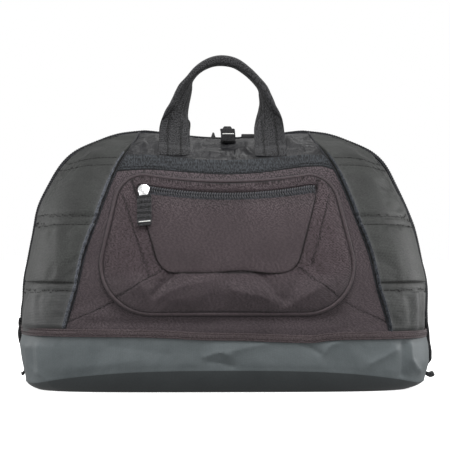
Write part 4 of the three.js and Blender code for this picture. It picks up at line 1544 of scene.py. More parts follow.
    def crown(self) -> None:
        """Makes the crown cloth from the yoke over the shoulder to the zip."""
        low = self.yoke_high + 0.1
        share = np.linspace(0, 1, 41)[:, None]
        across = np.linspace(-1, 1, 181)[None]
        edge_z = low + (self.crown_edge - low) * share
        edge_x = FORM.seam(edge_z) - self.seam_gap
        edge_y = FORM.front_depth(edge_x, edge_z)
        first = FORM.front_depth(0.0, low)
        middle_y = first + (-self.zip_edge - first) * share
        x = across * edge_x
        y = middle_y + (edge_y - middle_y) * across**2
        y[0] = FORM.front_depth(x[0], low)
        z = FORM.crest(x, y)
        z[0] = low
        height = folded(self.crown_folds, x, z) + 1.3 * crumple(x, y, z, 17, 2.0)
        height = height * np.sin(math.pi * np.clip(share, 0.02, 0.98)) ** 0.6
        height = height - 1.0 * np.exp(-(1 - share) * 40 / 1.5)
        held = np.maximum(np.exp(-share * 30), np.exp(-(1 - share) * 30)) + (np.abs(across) > 0.985)
        # The crown's edge at the zip is painted dark: painted shade where it dips to the teeth
        self.cloth(
            "crown_cloth", FORM.lay(x, y, z, height), self.wall, TOP_CLOTH, "top_cloth", "top_panel",
            relax=Relax(pressure=0.0, growth=0.012, cap=1.2), held=np.clip(held, 0, 1),
            seam=0.7 * np.exp(-(1 - share) * 40),
        )


@dataclass
class Wing(Assembly):
    """A padded side panel, quilted by pairs of stitch rows, with a thick rolled lip at the front."""

    hand: int
    foot: float = 57.4
    tip: float = 269.0
    seam_gap: float = 0.3
    zip_edge: float = 12.0
    wall: float = 2.5
    pad: float = 5.5
    fade: tuple[float, float] = (0.2, 0.75)
    # Heights of the quilting, and how firmly each pair of rows holds the pad down
    quilts: Rows = ((106.5, 0.29), (174.5, 0.36), (234, 0.1))
    row_gap: float = 7.4
    row_reach: float = 1.9
    lip: float = 2.2
    foot_roll: float = 3.5
    hem_radius: float = 1.7
    # Distance of the sewn hem from the zip's edge
    hem_inset: float = 5.0
    # How far the outer side is drawn in, so that the zip stands proud of it
    drawn_in: float = 2.4
    drawn_low: float = 1.0
    pinch: float = 0.0
    # How far the foot of the wing is painted paler: painted light
    faded_and_lit: float = 0.12
    hem_cloth: Finish = HEM_CLOTH
    # Soft ridges and creases of the cloth, as seen from the front
    creases: tuple[Fold, ...] = ()
    rows: int = 104
    columns: int = 56

    @property
    def name(self) -> str:
        """The wing's name, with its side in words."""
        return "wing_left" if self.hand < 0 else "wing_right"

    def build(self) -> None:
        """Makes the wing, its stitching, the black strip in its seam and its hem."""
        pad = self.panel()
        lines = [self.quilt_line(z) for z in self.stitch_heights()] + [self.hem_line()]
        self.fit(Sewing().sew(f"{self.name}_stitching", Skin(pad), lines), DARK_THREAD)
        self.seam_strip()
        self.hem()

    def stitch_heights(self) -> list[float]:
        """Heights of all the quilting rows."""
        return [z + step for z, _ in self.quilts for step in (-self.row_gap / 2, self.row_gap / 2)]

    def span(self, z: float) -> tuple[float, float]:
        """Runs along the section's quarter where the wing starts and ends at a height."""
        x, y, run = FORM.quarter(z)
        start = np.interp(float(FORM.seam(z)) + self.seam_gap, x, run)
        return float(start), float(np.interp(-self.zip_edge, -y, run))

    def at(self, z: float, place: Numbers) -> tuple[Array, Array]:
        """Places across and deep at runs along the section's quarter at a height."""
        x, y, run = FORM.quarter(z)
        return self.hand * np.interp(place, run, x), -np.interp(place, run, y)

    def puff(self, across: Array, from_lip: Array, z: float) -> Array:
        """Height of the padding.

        Args:
            across: Share of the way from the lip to the zip.
            from_lip: Millimetres from the lip.
            z: Height of the row.

        Returns:
            How far the cloth stands off the form.
        """
        from_trim = z - 60.3 - float(FORM.trim_wave(self.hand * 195.0, -90.0))
        swell = self.pad * (1 - ease(across, *self.fade)) * (0.45 + 0.55 * ease(from_trim, 0, 30))
        ends = math.sqrt(1 - (1 - min(max(from_trim / self.foot_roll, 0), 1)) ** 2) * (1 - ease(z, 238, 264))
        held = 1.0
        for middle, hold in self.quilts:
            rows = [hump(z, middle + s * self.row_gap / 2, self.row_reach) for s in (-1, 1)]
            held *= 1 - hold * max(*rows, 0.45 * float(hump(z, middle, self.row_gap)))
        rolled = np.sqrt(1 - (1 - np.clip(from_lip / self.lip, 0, 1)) ** 2)
        pressed = 0.9 * (1 - held) * ease(across, 0.3, 0.8)
        drawn = self.drawn_in + self.drawn_low * (1 - ease(z, 60, 110))
        inward = drawn * ease(across, 0.4, 0.8) * (1 - ease(z, 240, 262))
        inward = inward + self.pinch * hump(across, 0.66, 0.24) * (1 - ease(z, 70, 120))
        return swell * ends * held * rolled - pressed - inward - 0.6 * (1 - rolled)

    def pulls(self, to_zip: Array, z: float) -> Array:
        """Long wrinkles beside the zip, where the cloth is drawn up the shoulder.

        Args:
            to_zip: Millimetres to the zip's edge.
            z: Height of the row.

        Returns:
            How far the wrinkles lift the cloth.
        """
        wander = to_zip + 2.5 * math.sin(z / 17 + self.hand) + 0.06 * (z - 200)
        upper = float(ease(z, 178, 192) * (1 - ease(z, 226, 240)))
        lower = 0.8 * float(ease(z, 60, 66) * (1 - ease(z, 92, 102)))
        reach = ease(to_zip, 8, 14) * (1 - ease(to_zip, 34, 62))
        return 0.8 * (upper + lower) * reach * np.sin(2 * math.pi * wander / 11)

    def hem(self) -> None:
        """Makes the frayed hem that is rolled along the lip."""
        z = np.linspace(self.foot + 3, 244, 260)
        x = FORM.seam(z) + 1.1
        raised = np.array([float(self.puff(np.array([0.02]), np.array([3.0]), level)[0]) for level in z])
        ragged = 1.3 * crumple(0 * z, 0 * z + self.hand, z, 4.5, 2.0)
        on = FORM.front(self.hand * (x - 0.5 * ragged), z, raised - 0.7 + 0.5 * ragged)
        width = 2 * self.hem_radius * (1 + 0.3 * ragged) * (1 - 0.5 * ease(z, 205, 244))
        self.fit(strap(f"{self.name}_hem", on, ACROSS, (width, width, 2.0), 12), self.hem_cloth, "pack_cloth")

    def panel(self) -> Piece:
        """Makes the padded panel.

        Returns:
            The panel.
        """
        share = np.concatenate([[0, 0.006, 0.013, 0.021], np.linspace(0.03, 1, self.columns - 3)])
        rows = []
        for z in np.linspace(self.foot, self.tip, self.rows + 1):
            start, stop = self.span(z)
            place = start + (stop - start) * share
            across, deep = self.at(z, place)
            from_lip, to_zip = place - start, stop - place
            hem = 1.0 * np.exp(-to_zip / 1.2) + 0.5 * hump(to_zip, self.hem_inset, 1.2)
            ridges = folded(self.creases, across, np.full_like(across, z))
            height = self.puff(share, from_lip, z) - hem + self.pulls(to_zip, z) + ridges
            stitch = max(float(hump(z, s, 1.2)) for s in self.stitch_heights())
            # Painted shade along the quilting rows and beside the lip
            seam = np.maximum(0.28 * stitch, 0.5 * np.exp(-from_lip / 0.7))
            # Painted light over the foot, painted highlights on the crease ridges, and a painted highlight
            # along the rolled lip
            foot = self.faded_and_lit * float(1 - ease(z, 80, 125))
            wear_and_highlight = 0.07 * np.clip(ridges, 0, 2) * float(1 - ease(z, 85, 125))
            painted_light_and_tone = foot + wear_and_highlight + 0.1 * hump(from_lip, 2.6, 1.6) * float(ease(240 - z, 0, 30))
            firm = max(stitch, float(z < self.foot + 4), float(z > self.tip - 2))
            edges = np.maximum((from_lip < 2.5) | (to_zip < 7), 0.35 * ease(share, 0.5, 0.8))
            rows.append((FORM.lay(across, deep, z, height), seam, painted_light_and_tone, np.maximum(firm, edges)))
        # Columns run to the right seen from outside, so the left wing's are turned round
        points, seam, painted_light_and_tone, held = (np.stack(parts)[:, :: self.hand] for parts in zip(*rows))
        return self.cloth(
            f"{self.name}_pad", points, self.wall, PACK_CLOTH, "pack_cloth", self.name, seam=seam, painted_light_and_tone=painted_light_and_tone,
            relax=Relax(pressure=0.5, growth=0.012, bending=0.6, cap=1.6), held=held, fill=0.4,
        )

    def quilt_line(self, z: float) -> Array:
        """A quilting row that hovers over the wing."""
        start, stop = self.span(z)
        return FORM.lay(*self.at(z, np.linspace(start + 3, stop - 4, 90)), z, 7)

    def hem_line(self) -> Array:
        """A line along the zip that hovers over the wing."""
        levels = np.linspace(self.foot + 6, self.tip - 3, 120)
        return np.array([FORM.lay(*self.at(z, self.span(z)[1] - self.hem_inset), z, 3) for z in levels])

    def seam_strip(self) -> None:
        """Makes a thin black strip that lies in the seam beside the lip."""
        z = np.linspace(self.foot + 3, self.tip, 160)
        on = FORM.front(self.hand * (FORM.seam(z) - 0.6), z, 0.5)
        self.fit(strap(f"{self.name}_binding", on, ACROSS, (1.9, 1.6, 2.0), 10), ZIP_TAPE, "zip_tape")


# Directions across the bag, front to back and up
ACROSS, DEEP, UP = np.eye(3)
# The two wings, with their creases as they hang
LEFT_WING = Wing(
    -1, drawn_in=2.2, creases=(
        Fold(((-172, 165), (-171, 118)), 6, 1.0), Fold(((-160, 160), (-161, 120)), 6, -0.8),
        Fold(((-196, 100), (-194, 66)), 5, 0.9),
    ),
)
RIGHT_WING = Wing(
    1, drawn_in=4.0, drawn_low=1.5, pinch=4.0, faded_and_lit=0.06, hem_cloth=DARKER_HEM, creases=(
        Fold(((159, 247), (177, 213), (186, 185)), 5, 1.2),
        Fold(((166, 243), (183, 210), (191, 182)), 4, -1.0),
        Fold(((171, 239), (190, 182)), 4, 1.0), Fold(((201, 101), (204, 64)), 3, 1.4),
        Fold(((197, 99), (199, 64)), 3, -1.8), Fold(((190, 98), (193, 64)), 3.5, 1.9),
        Fold(((183, 92), (186, 64)), 4, -1.0),
    ),
)


@dataclass
class BackShell(Assembly):
    """The padded back, plain, from the trim up to the zip."""

    foot: float = 57.4
    tip: float = 269.0
    zip_edge: float = 12.0
    crest_half: float = 94.0
    wall: float = 2.5
    rows: int = 64
    columns: int = 150

    def build(self) -> None:
        """Makes the back and the stitching along its hem."""
        shell = self.shell()
        x, z = FORM.arch(self.zip_edge + 5, self.foot + 8, 400)
        line = FORM.lay(x, self.zip_edge + 5, z, 3)
        self.fit(Sewing().sew("back_stitching", Skin(shell), [line]), DARK_THREAD)

    def shell(self) -> Piece:
        """Makes the shell.

        Returns:
            The shell.
        """
        across = np.linspace(1, -1, self.columns + 1)
        rows = []
        for z in np.linspace(self.foot, self.tip, self.rows + 1):
            x, y, run = FORM.quarter(z)
            stop = float(np.interp(-self.zip_edge, -y, run))
            place = np.abs(across) * stop
            deep, side = np.interp(place, run, y), np.interp(place, run, x) * np.sign(across)
            soft = 1.2 * crumple(side, deep, z, 60, 4.0)
            edge = np.minimum(stop - place, z - self.foot)
            height = soft * ease(edge, 0, 25) - 1.0 * np.exp(-(stop - place) / 1.2)
            rows.append(FORM.lay(side, deep, z, height))
        ends = rows[self.rows]
        for share in (0.4, 0.75, 1.0):
            y = ends[:, 1] + (self.zip_edge - ends[:, 1]) * share
            flat = ends[:, 0] + (across * self.crest_half - ends[:, 0]) * share
            rows.append(FORM.lay(flat, y, FORM.crest(flat, y), -1.0 * share))
        points = np.stack(rows)
        return self.cloth("back_pad", points, self.wall, PACK_CLOTH, "pack_cloth", "back_shell", fill=0.3)


@dataclass
class MainZip(Assembly):
    """The zip over the arch, its sliders, its pull and the tabs over its ends."""

    foot: float = 52.0
    tape_half: float = 18.0
    tape_under: float = -3.65
    tape_wall: float = 0.8
    pitch: float = 2.6
    tooth: tuple[float, float, float] = (4.4, 1.7, 2.4)
    coil_lift: float = -0.4
    core_half: float = 4.0
    # How far a slider reaches down round the teeth
    slider_grip: float = 2.5
    # How far the right slider's bridge rises
    bridge: float = 2.4
    # Height, and how far the zip stands proud of the right side there
    proud: Rows = ((68, 3.0), (80, 2.1), (93, 1.6), (106, 0.8), (131, 0))
    # Left, right and top of the heel of the far slider
    heel: tuple[float, float, float] = (18.8, 33.8, 268.6)
    pull_x: float = 4.0
    pull_wide: float = 15.5
    pull_thick: float = 2.4
    # Depth and height of points along the pull
    pull_path: Rows = ((-1, 272.8), (-9, 272.6), (-17, 270.2), (-27, 265.2), (-37, 258.6))
    tab_half: float = 11.0
    # Height of points down each tab, their distance off the form and the thickness there, left and right
    tab_drop: Rows = (
        (72, 0.0, -2.2, 1.6, 2.8), (65, 0.0, 0.4, 2.6, 3.0), (58, 0.4, 1.6, 3.4, 3.0),
        (54, 0.4, 2.0, 3.4, 3.0), (50, 0.6, 2.4, 2.8, 3.0), (46, 1.0, 3.2, 1.8, 3.0),
        (41.5, 0.4, 4.6, 1.0, 3.0), (37, 0, 6.2, 1.0, 2.8), (33, 0, 7.2, 1.0, 2.4), (28.6, 0, 8.2, 1.0, 1.8),
        (24, 0, 6.0, 1.0, 1.6), (20, 0, 4.2, 1.0, 1.6), (17.5, 0.6, 4.2, 1.4, 1.8), (14.5, 2.0, 4.8, 2.4, 3.2),
        (13.0, 3.0, 8.8, 2.8, 5.2), (15.2, 3.2, 13.2, 2.6, 4.8),
    )

    def build(self) -> None:
        """Makes every piece of the zip."""
        self.tape()
        self.core()
        line = self.over(0.5, self.foot + 4, 1200, self.coil_lift)
        line[:, 1] = 0
        teeth = scatter_teeth("main_zip_teeth", line, self.pitch, self.tooth, DEEP)
        self.fit(teeth, ZIP_TEETH, "zip_coil", "main_zip_coil")
        self.pull()
        self.slider_right()
        self.slider_left()
        self.slider_heel()
        self.tab(-1, "left", 1)
        self.tab(1, "right", 2)

    def over(self, y: float, foot: float, stations: int, lift: float, share: float = 1.0) -> Array:
        """Lays a line over the arch, proud of the form on the right.

        Args:
            y: Depth of the line.
            foot: Height of its ends.
            stations: How many spans it has.
            lift: How far it stands off the form.
            share: Share of the zip's own stand that it follows.

        Returns:
            Points in millimetres.
        """
        x, z = FORM.arch(y, foot, stations)
        stands = np.where(x > 0, np.interp(z, *np.array(self.proud, float).T), 0)
        return FORM.lay(x, y, z, lift + share * stands)

    def tape(self) -> None:
        """Makes the tape under the panels' edges."""
        deep = np.linspace(-self.tape_half, self.tape_half, 13)
        points = np.stack([self.over(float(y), self.foot, 300, self.tape_under, 0.5) for y in deep])
        self.cloth("main_zip_tape_cloth", points, self.tape_wall, ZIP_TAPE, "zip_tape", "main_zip_tape")

    def core(self) -> None:
        """Makes the cord that the teeth are wound on."""
        rows = []
        for y in np.linspace(-self.core_half, self.core_half, 9):
            lift = self.coil_lift - 1.8 + 2.6 * (1 - (y / self.core_half) ** 2)
            rows.append(self.over(float(y), self.foot + 2, 320, lift))
        self.cloth("main_zip_core", np.stack(rows), 0.8, ZIP_TAPE, "zip_tape")

    def slider_box(self, side: str) -> tuple[Vector, Vector]:
        """The box of a slider's solid, lowered to grip the teeth, in metres."""
        low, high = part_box(f"main_zip_slider_{side}")
        return low - Vector(UP) * self.slider_grip * MM, high

    def slider_right(self) -> None:
        """Models the slider in use: a body with a raised bridge for its pull."""
        piece = block("main_slider_right", *self.slider_box("right"))
        shape_top(piece, inset=1.4, rise=self.bridge, narrow=0.8)
        self.fit(piece, PAINTED_ZINC, "dark_metal", "main_zip_slider_right")

    def slider_left(self) -> None:
        """Models the spare slider: a smaller body that narrows upwards."""
        low, high = self.slider_box("left")
        piece = block("main_slider_left", low + Vector(ACROSS) * 2 * MM, high - Vector(ACROSS) * 2 * MM)
        shape_top(piece, inset=0.4, rise=-1.0, narrow=0.8, taper=(0.25, 0.6))
        self.fit(piece, PAINTED_ZINC, "dark_metal", "main_zip_slider_left")

    def slider_heel(self) -> None:
        """Models the low heel that shows beside the pull."""
        left, right, top = self.heel
        piece = block("main_slider_heel", Vector((left, -4, top - 5.5)) * MM, Vector((right, 4, top)) * MM)
        shape_top(piece, inset=0.8, rise=-0.4, taper=(0.94, 0.8))
        self.fit(piece, PAINTED_ZINC, "dark_metal")

    def pull(self) -> None:
        """Makes the pull that falls forward over the crown, with its bar-tack."""
        path = through(np.array(self.pull_path, float), 40)
        centers = np.stack([np.full(40, self.pull_x), path[:, 0], path[:, 1]], axis=1)
        rounded = 1 - 0.25 * np.exp(-np.arange(40)[::-1] / 1.2)
        piece = strap("main_pull", centers, ACROSS, (self.pull_wide * rounded, self.pull_thick, 7.0))
        self.fit(piece, PULL_WEBBING, "webbing", "main_zip_pull")
        tack = centers[27] + (0, -1.6, 2.4)
        self.fit(bar_tack("main_pull_bar_tack", Skin(piece), tack, self.pull_wide - 3, 0.3), WHITE_THREAD)

    def tab(self, hand: int, side: str, column: int) -> None:
        """Makes the folded webbing tab over one end of the zip.

        Args:
            hand: -1 for the left and 1 for the right.
            side: The side in words.
            column: The column of the drop table.
        """
        drop = through(np.array(self.tab_drop, float), 60)
        z, lift, thick = drop[:, 0], drop[:, column], drop[:, column + 2]
        x, y = hand * FORM.half_width(z), np.zeros_like(z)
        over_tub = np.where(z < 48, Tub().slack(x, y, z) + 0.2, lift)
        centers = FORM.lay(x, y, z, np.maximum(lift, over_tub) + thick / 2)
        rounded = 1 - 0.3 * np.exp(-np.arange(60)[::-1] / 1.5)
        piece = strap(f"zip_tab_{side}", centers, DEEP, (2 * self.tab_half * rounded, thick, 7.0))
        self.fit(piece, WEBBING, "webbing", f"zip_end_tab_{side}")


@dataclass
class Pocket(Assembly):
    """The piped front pocket: its slack surround, the recessed tongue, and the zip with its pull."""

    middle: float = 165.0
    piping_radius: float = 1.9
    piping_lift: float = 0.9
    # Outlines of the opening and of the tongue: across, up and radius of the right-hand corners
    window_corners: Rows = ((94, 211, 4), (63, 126, 20))
    tongue_corners: Rows = ((91.5, 202.4, 4), (68.5, 122, 21))
    wall: float = 2.0
    foot_lift: float = 0.9
    pouch: float = 4.2
    side_pouch: float = 2.0
    tongue_lift: float = 4.8
    tongue_wall: float = 1.2
    zip_half: float = 91.0
    zip_low: float = 201.0
    zip_high: float = 213.5
    zip_lift: float = 1.7
    tape_wall: float = 0.8
    teeth_height: float = 207.4
    teeth_lift: float = 2.6
    pitch: float = 2.6
    tooth: tuple[float, float, float] = (4.2, 1.6, 1.7)
    pull_x: float = -84.0
    pull_wide: float = 15.0
    pull_thick: float = 2.4
    pull_top: float = 197.1
    pull_foot: float = 168.0
    pull_lift: tuple[float, float] = (8.6, 7.8)
    pull_fold: float = 5.2
    tab_drop: float = 2.0
    tab_tail: float = 4.0
    columns: int = 420
    rows: int = 36
    # Darts and seams that hold the pocket's shape
    seams: tuple[FrontLine, ...] = (
        FrontLine(((-64, 127), (-114, 96))), FrontLine(((70, 128), (120, 92))),
        FrontLine(((-107, 201), (-94, 160), (-79, 118))), FrontLine(((106, 201), (95, 165), (85, 129))),
    )
    # Edges of the opening above the tongue
    slits: tuple[FrontLine, ...] = (
        FrontLine(((-97.5, 216), (-95, 208), (-91, 195))), FrontLine(((91.5, 203), (93.8, 218.5))),
    )
    # Ridges and creases of the slack pouch
    folds: tuple[Fold, ...] = (
        Fold(((4, 104.5), (34, 97.5), (56, 86)), 6, 3.4), Fold(((59, 86), (78, 98.5), (98, 109.5)), 6, 3.2),
        Fold(((34, 119), (56, 93)), 7, -3.2), Fold(((73, 119), (60, 93)), 7, -2.0),
        Fold(((85, 131), (92, 121)), 6, -2.4), Fold(((-57, 121), (-66, 110.5), (-75, 98.5)), 5, -5.4),
        Fold(((-89, 110), (-79, 96.5), (-70, 95.5), (-58, 103.5), (-38, 110), (-13, 115)), 6, 3.2),
        Fold(((-48, 95), (2, 103)), 10, 1.5), Fold(((-96, 130), (-100, 150)), 8, 1.0),
        Fold(((100, 145), (106, 170)), 9, 1.0),
    )

    def build(self) -> None:
        """Makes every piece of the pocket."""
        surround = self.surround()
        self.piping()
        self.tongue()
        self.zip()
        lines = [FORM.pocket(*seam.fine().T, 9) for seam in self.seams]
        self.fit(Sewing().sew("pocket_stitching", Skin(surround), lines), DARK_THREAD)
        self.plate("pocket_slider", "pocket_zip_slider", PAINTED_ZINC, "dark_metal", 0.9)
        self.pull_tab()
        self.pull()

    def angles(self, loop: Array) -> Array:
        """Directions of an outline's points from the pocket's middle."""
        return np.unwrap(np.arctan2(loop[:, 1] - self.middle, loop[:, 0]))

    def rays(self, corners: Rows, turns: Array) -> Array:
        """Places where rays from the pocket's middle meet an outline.

        Args:
            corners: The outline's right-hand corners.
            turns: Directions of the rays.

        Returns:
            Points across and up.
        """
        circle = 2 * math.pi
        loop = rounded_loop(corners)
        angle = self.angles(loop) % circle
        order = np.argsort(angle)
        ring = [np.interp(turns % circle, angle[order], loop[order, k], period=circle) for k in (0, 1)]
        return np.stack(ring, axis=1)

    def surround(self) -> Piece:
        """Makes the pocket front round its opening, slack and folded.

        Returns:
            The pocket front.
        """
        turns = self.angles(rounded_loop(PIPING_CORNERS, self.columns)[::-1])
        turns = np.append(turns, turns[0] + 2 * math.pi)
        outer, inner = self.rays(PIPING_CORNERS, turns), self.rays(self.window_corners, turns)
        outer = outer + unit(inner - outer) * (self.piping_radius - 0.6)
        share = np.concatenate([np.linspace(0, 0.94, self.rows - 5), np.linspace(0.955, 1, 6)])[:, None]
        x, z = (outer[:, k] + (inner[:, k] - outer[:, k]) * share for k in (0, 1))
        to_edge = np.hypot(x - inner[:, 0], z - inner[:, 1])
        from_piping = np.hypot(x - outer[:, 0], z - outer[:, 1])
        gaps = nearest_gap(self.seams, x, z)
        belly = self.side_pouch + (self.pouch - self.side_pouch) * (1 - ease(z, 105, 135))
        lift = self.foot_lift + self.wall + belly * np.sin(math.pi * np.clip(share, 0, 1) ** 0.8)
        fold = folded(self.folds, x, z) * np.sin(share * math.pi * 0.85)
        soft = 0.7 * crumple(x, 0 * x, z, 24, 7.0) * np.sin(share * math.pi)
        pressed = 0.35 * hump(gaps, 0, 1.2) * ease(to_edge, 1, 5)
        height = np.maximum(lift + fold + soft - pressed, self.foot_lift + 0.4) - 1.0 * hump(to_edge, 0, 1.3)
        held = np.maximum((to_edge < 2) | (from_piping < 1.5), hump(gaps, 0, 1.6)).astype(float)
        loop = rounded_loop(self.tongue_corners, 160)
        beside = FrontLine(tuple(map(tuple, np.concatenate([loop, loop[:1]]))))
        # Painted shade along the darts and seams, painted shadow inside the piping, painted shade at the
        # opening's edge, painted shadow along the tongue's outline and the slits, and the strip above the zip
        # painted a little darker; painted light on the lower pouch
        shades = [
            0.45 * hump(gaps, 0, 0.8), 0.9 * (1 - ease(from_piping, 0.6, 2.2)), 0.7 * np.exp(-to_edge / 1.2),
            0.9 * hump(nearest_gap([beside, *self.slits], x, z), 0, 1.3), 0.14 * ease(z, 207, 211),
        ]
        return self.cloth(
            "pocket_surround", FORM.pocket(x, z, height), self.wall, CANVAS, "polyester", "pocket_front",
            flatten=front_uv, relax=Relax(pressure=0.5, growth=0.007, bending=0.3, cap=1.2), held=held,
            seam=np.max(shades, axis=0), painted_light_and_tone=0.05 * (1 - ease(z, 105, 130)), closed=True, fill=0.25,
        )

    def piping(self) -> None:
        """Makes the covered cord round the pocket."""
        loop = rounded_loop(PIPING_CORNERS, 480)
        x, z = np.concatenate([loop, loop[:1]]).T
        lift = self.piping_lift + self.piping_radius
        on = FORM.pocket(x, z, lift)
        out = unit(FORM.pocket(x, z, lift + 1) - on)
        ahead = unit(np.gradient(on, axis=0))
        ahead[0] = ahead[-1] = unit(on[1] - on[-2])
        turn = np.linspace(0, 2 * math.pi, 15)[:, None, None]
        ring = np.cos(turn) * np.cross(out, ahead) + np.sin(turn) * out
        points = (on + self.piping_radius * ring).transpose(1, 0, 2)
        piece = cloth_grid("piping", points, cloth_uv(points))
        merge(piece)
        with editing(piece):
            bpy.ops.mesh.normals_make_consistent(inside=False)
        bpy.ops.object.shade_smooth()
        self.fit(piece, PIPING_CLOTH, "piping", "pocket_piping")

    def tongue(self) -> None:
        """Makes the recessed panel under the zip."""
        loop = rounded_loop(self.tongue_corners)
        right = loop[loop[:, 0] > 0]
        right = right[np.argsort(right[:, 1])]
        low, high = right[0, 1], right[-1, 1]
        z = np.repeat(np.linspace(low, high, 61)[:, None], 121, axis=1)
        half = np.interp(z[:, :1], right[:, 1], np.maximum.accumulate(right[:, 0]))
        even = np.linspace(-1, 1, 121)
        x = np.sign(even) * (1 - (1 - np.abs(even)) ** 1.4) * half
        to_side = half - np.abs(x)
        height = self.tongue_lift + 0.6 * crumple(x, 0 * x, z, 34, 6.0)
        height = height + 1.2 * hump(z, 155, 30) * hump(x, 0, 70) - 2.3 * ease(z, 184, high)
        height = height - 0.8 * np.exp(-to_side / 1.0) - 0.8 * np.exp(-(z - low) / 1.0)
        wavy = (1.0 * np.sin(x / 17 + 1) + 0.6 * np.sin(x / 9)) * (1 - ease(z, low, low + 14))
        hemmed = np.maximum(np.exp(-to_side / 0.7), np.exp(-(z - low) / 0.7) * (1 - ease(z, 190, 196)))
        # Painted shade along the tongue's hemmed edges, and the tongue painted a little darker towards the zip
        self.cloth(
            "pocket_tongue_cloth", FORM.pocket(x, z + wavy, height), self.tongue_wall, TONGUE_CANVAS,
            "polyester", "pocket_tongue", flatten=front_uv,
            seam=np.maximum(0.85 * hemmed * (1 - ease(z, 197, high)), 0.16 * ease(z, 180, 198)),
        )

    def zip(self) -> None:
        """Makes the tape and the teeth of the pocket's zip."""
        across = np.linspace(-self.zip_half, self.zip_half, 121)
        up = np.linspace(self.zip_low, self.zip_high, 9)
        points = FORM.pocket(*np.meshgrid(across, up), self.zip_lift)
        self.cloth(
            "pocket_tape", points, self.tape_wall, ZIP_TAPE, "zip_tape", "pocket_zip_tape", flatten=front_uv
        )
        x = np.linspace(-self.zip_half + 5, self.zip_half - 2, 400)
        line = FORM.pocket(x, np.full_like(x, self.teeth_height), self.teeth_lift)
        teeth = scatter_teeth("pocket_teeth", line, self.pitch, self.tooth, UP)
        self.fit(teeth, DUSTY_TEETH, "zip_coil", "pocket_zip_coil")

    def plate(self, name: str, node: str, finish: Finish, slot: str, round_by: float) -> Piece:
        """Takes a hard piece of the frame and rounds its edges.

        Args:
            name: Name of the new piece.
            node: The solid that it replaces.
            finish: Its finish.
            slot: The record's material slot.
            round_by: Radius of its edges.

        Returns:
            The piece.
        """
        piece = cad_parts[node].copy()
        piece.data = piece.data.copy()
        piece.name = name
        piece.parent = None
        for key in list(piece.keys()):
            del piece[key]
        bpy.context.scene.collection.objects.link(piece)
        merge(piece)
        with editing(piece):
            bpy.ops.mesh.dissolve_limited(angle_limit=math.radians(2))
        soften(piece, round_by)
        return self.fit(piece, finish, slot, node)

    def pull_tab(self) -> None:
        """Makes the bright tab of the pocket's slider, its tail drawn out to the pull."""
        piece = self.plate("pocket_pull_tab", "pocket_zip_pull_tab", PLATED_ZINC, "bright_metal", 0.35)
        points = points_of(piece)
        high, low = points[:, 2].max(), points[:, 2].min()
        down = np.clip((high - 7 - points[:, 2]) / (high - 7 - low), 0, 1)
        points[:, 2] -= self.tab_drop + self.tab_tail * down
        points[:, 0] += 1.2 * down
        move_to(piece, points)

    def pull(self) -> None:
        """Makes the folded webbing pull of the pocket, with its bar-tack."""
        share = np.linspace(0, 1, 60)
        z = self.pull_top + (self.pull_foot - self.pull_top) * share
        lift = self.pull_lift[0] + (self.pull_lift[1] - self.pull_lift[0]) * share
        centers, right = (FORM.pocket(np.full(60, self.pull_x + step), z, lift) for step in (0, 4))
        ribs = 0.5 * np.cos(2 * math.pi * (self.pull_top - z) / self.pull_fold)
        rounded = 1 - 0.22 * np.exp(-np.arange(60)[::-1] / 2.0)

        def hollows(level: Array, across: Array) -> Array:
            """Hollows between the pull's cross folds, pressed in and painted with shade."""
            wave = 0.5 - 0.5 * np.cos(2 * math.pi * (centers[0, 2] - level) / self.pull_fold)
            return 0.8 * wave**4 * ease(level, 176, 180) + 0 * across

        sizes = self.pull_wide * rounded, self.pull_thick + ribs, 6.0
        piece = strap("pocket_pull", centers, right - centers, sizes, 40, hollows)
        self.fit(piece, WEBBING, "webbing", "pocket_zip_pull")
        tack = FORM.pocket(self.pull_x, 171.8, 14.0)
        self.fit(bar_tack("pocket_pull_bar_tack", Skin(piece), tack, self.pull_wide - 2.4, 0.7), WHITE_THREAD)


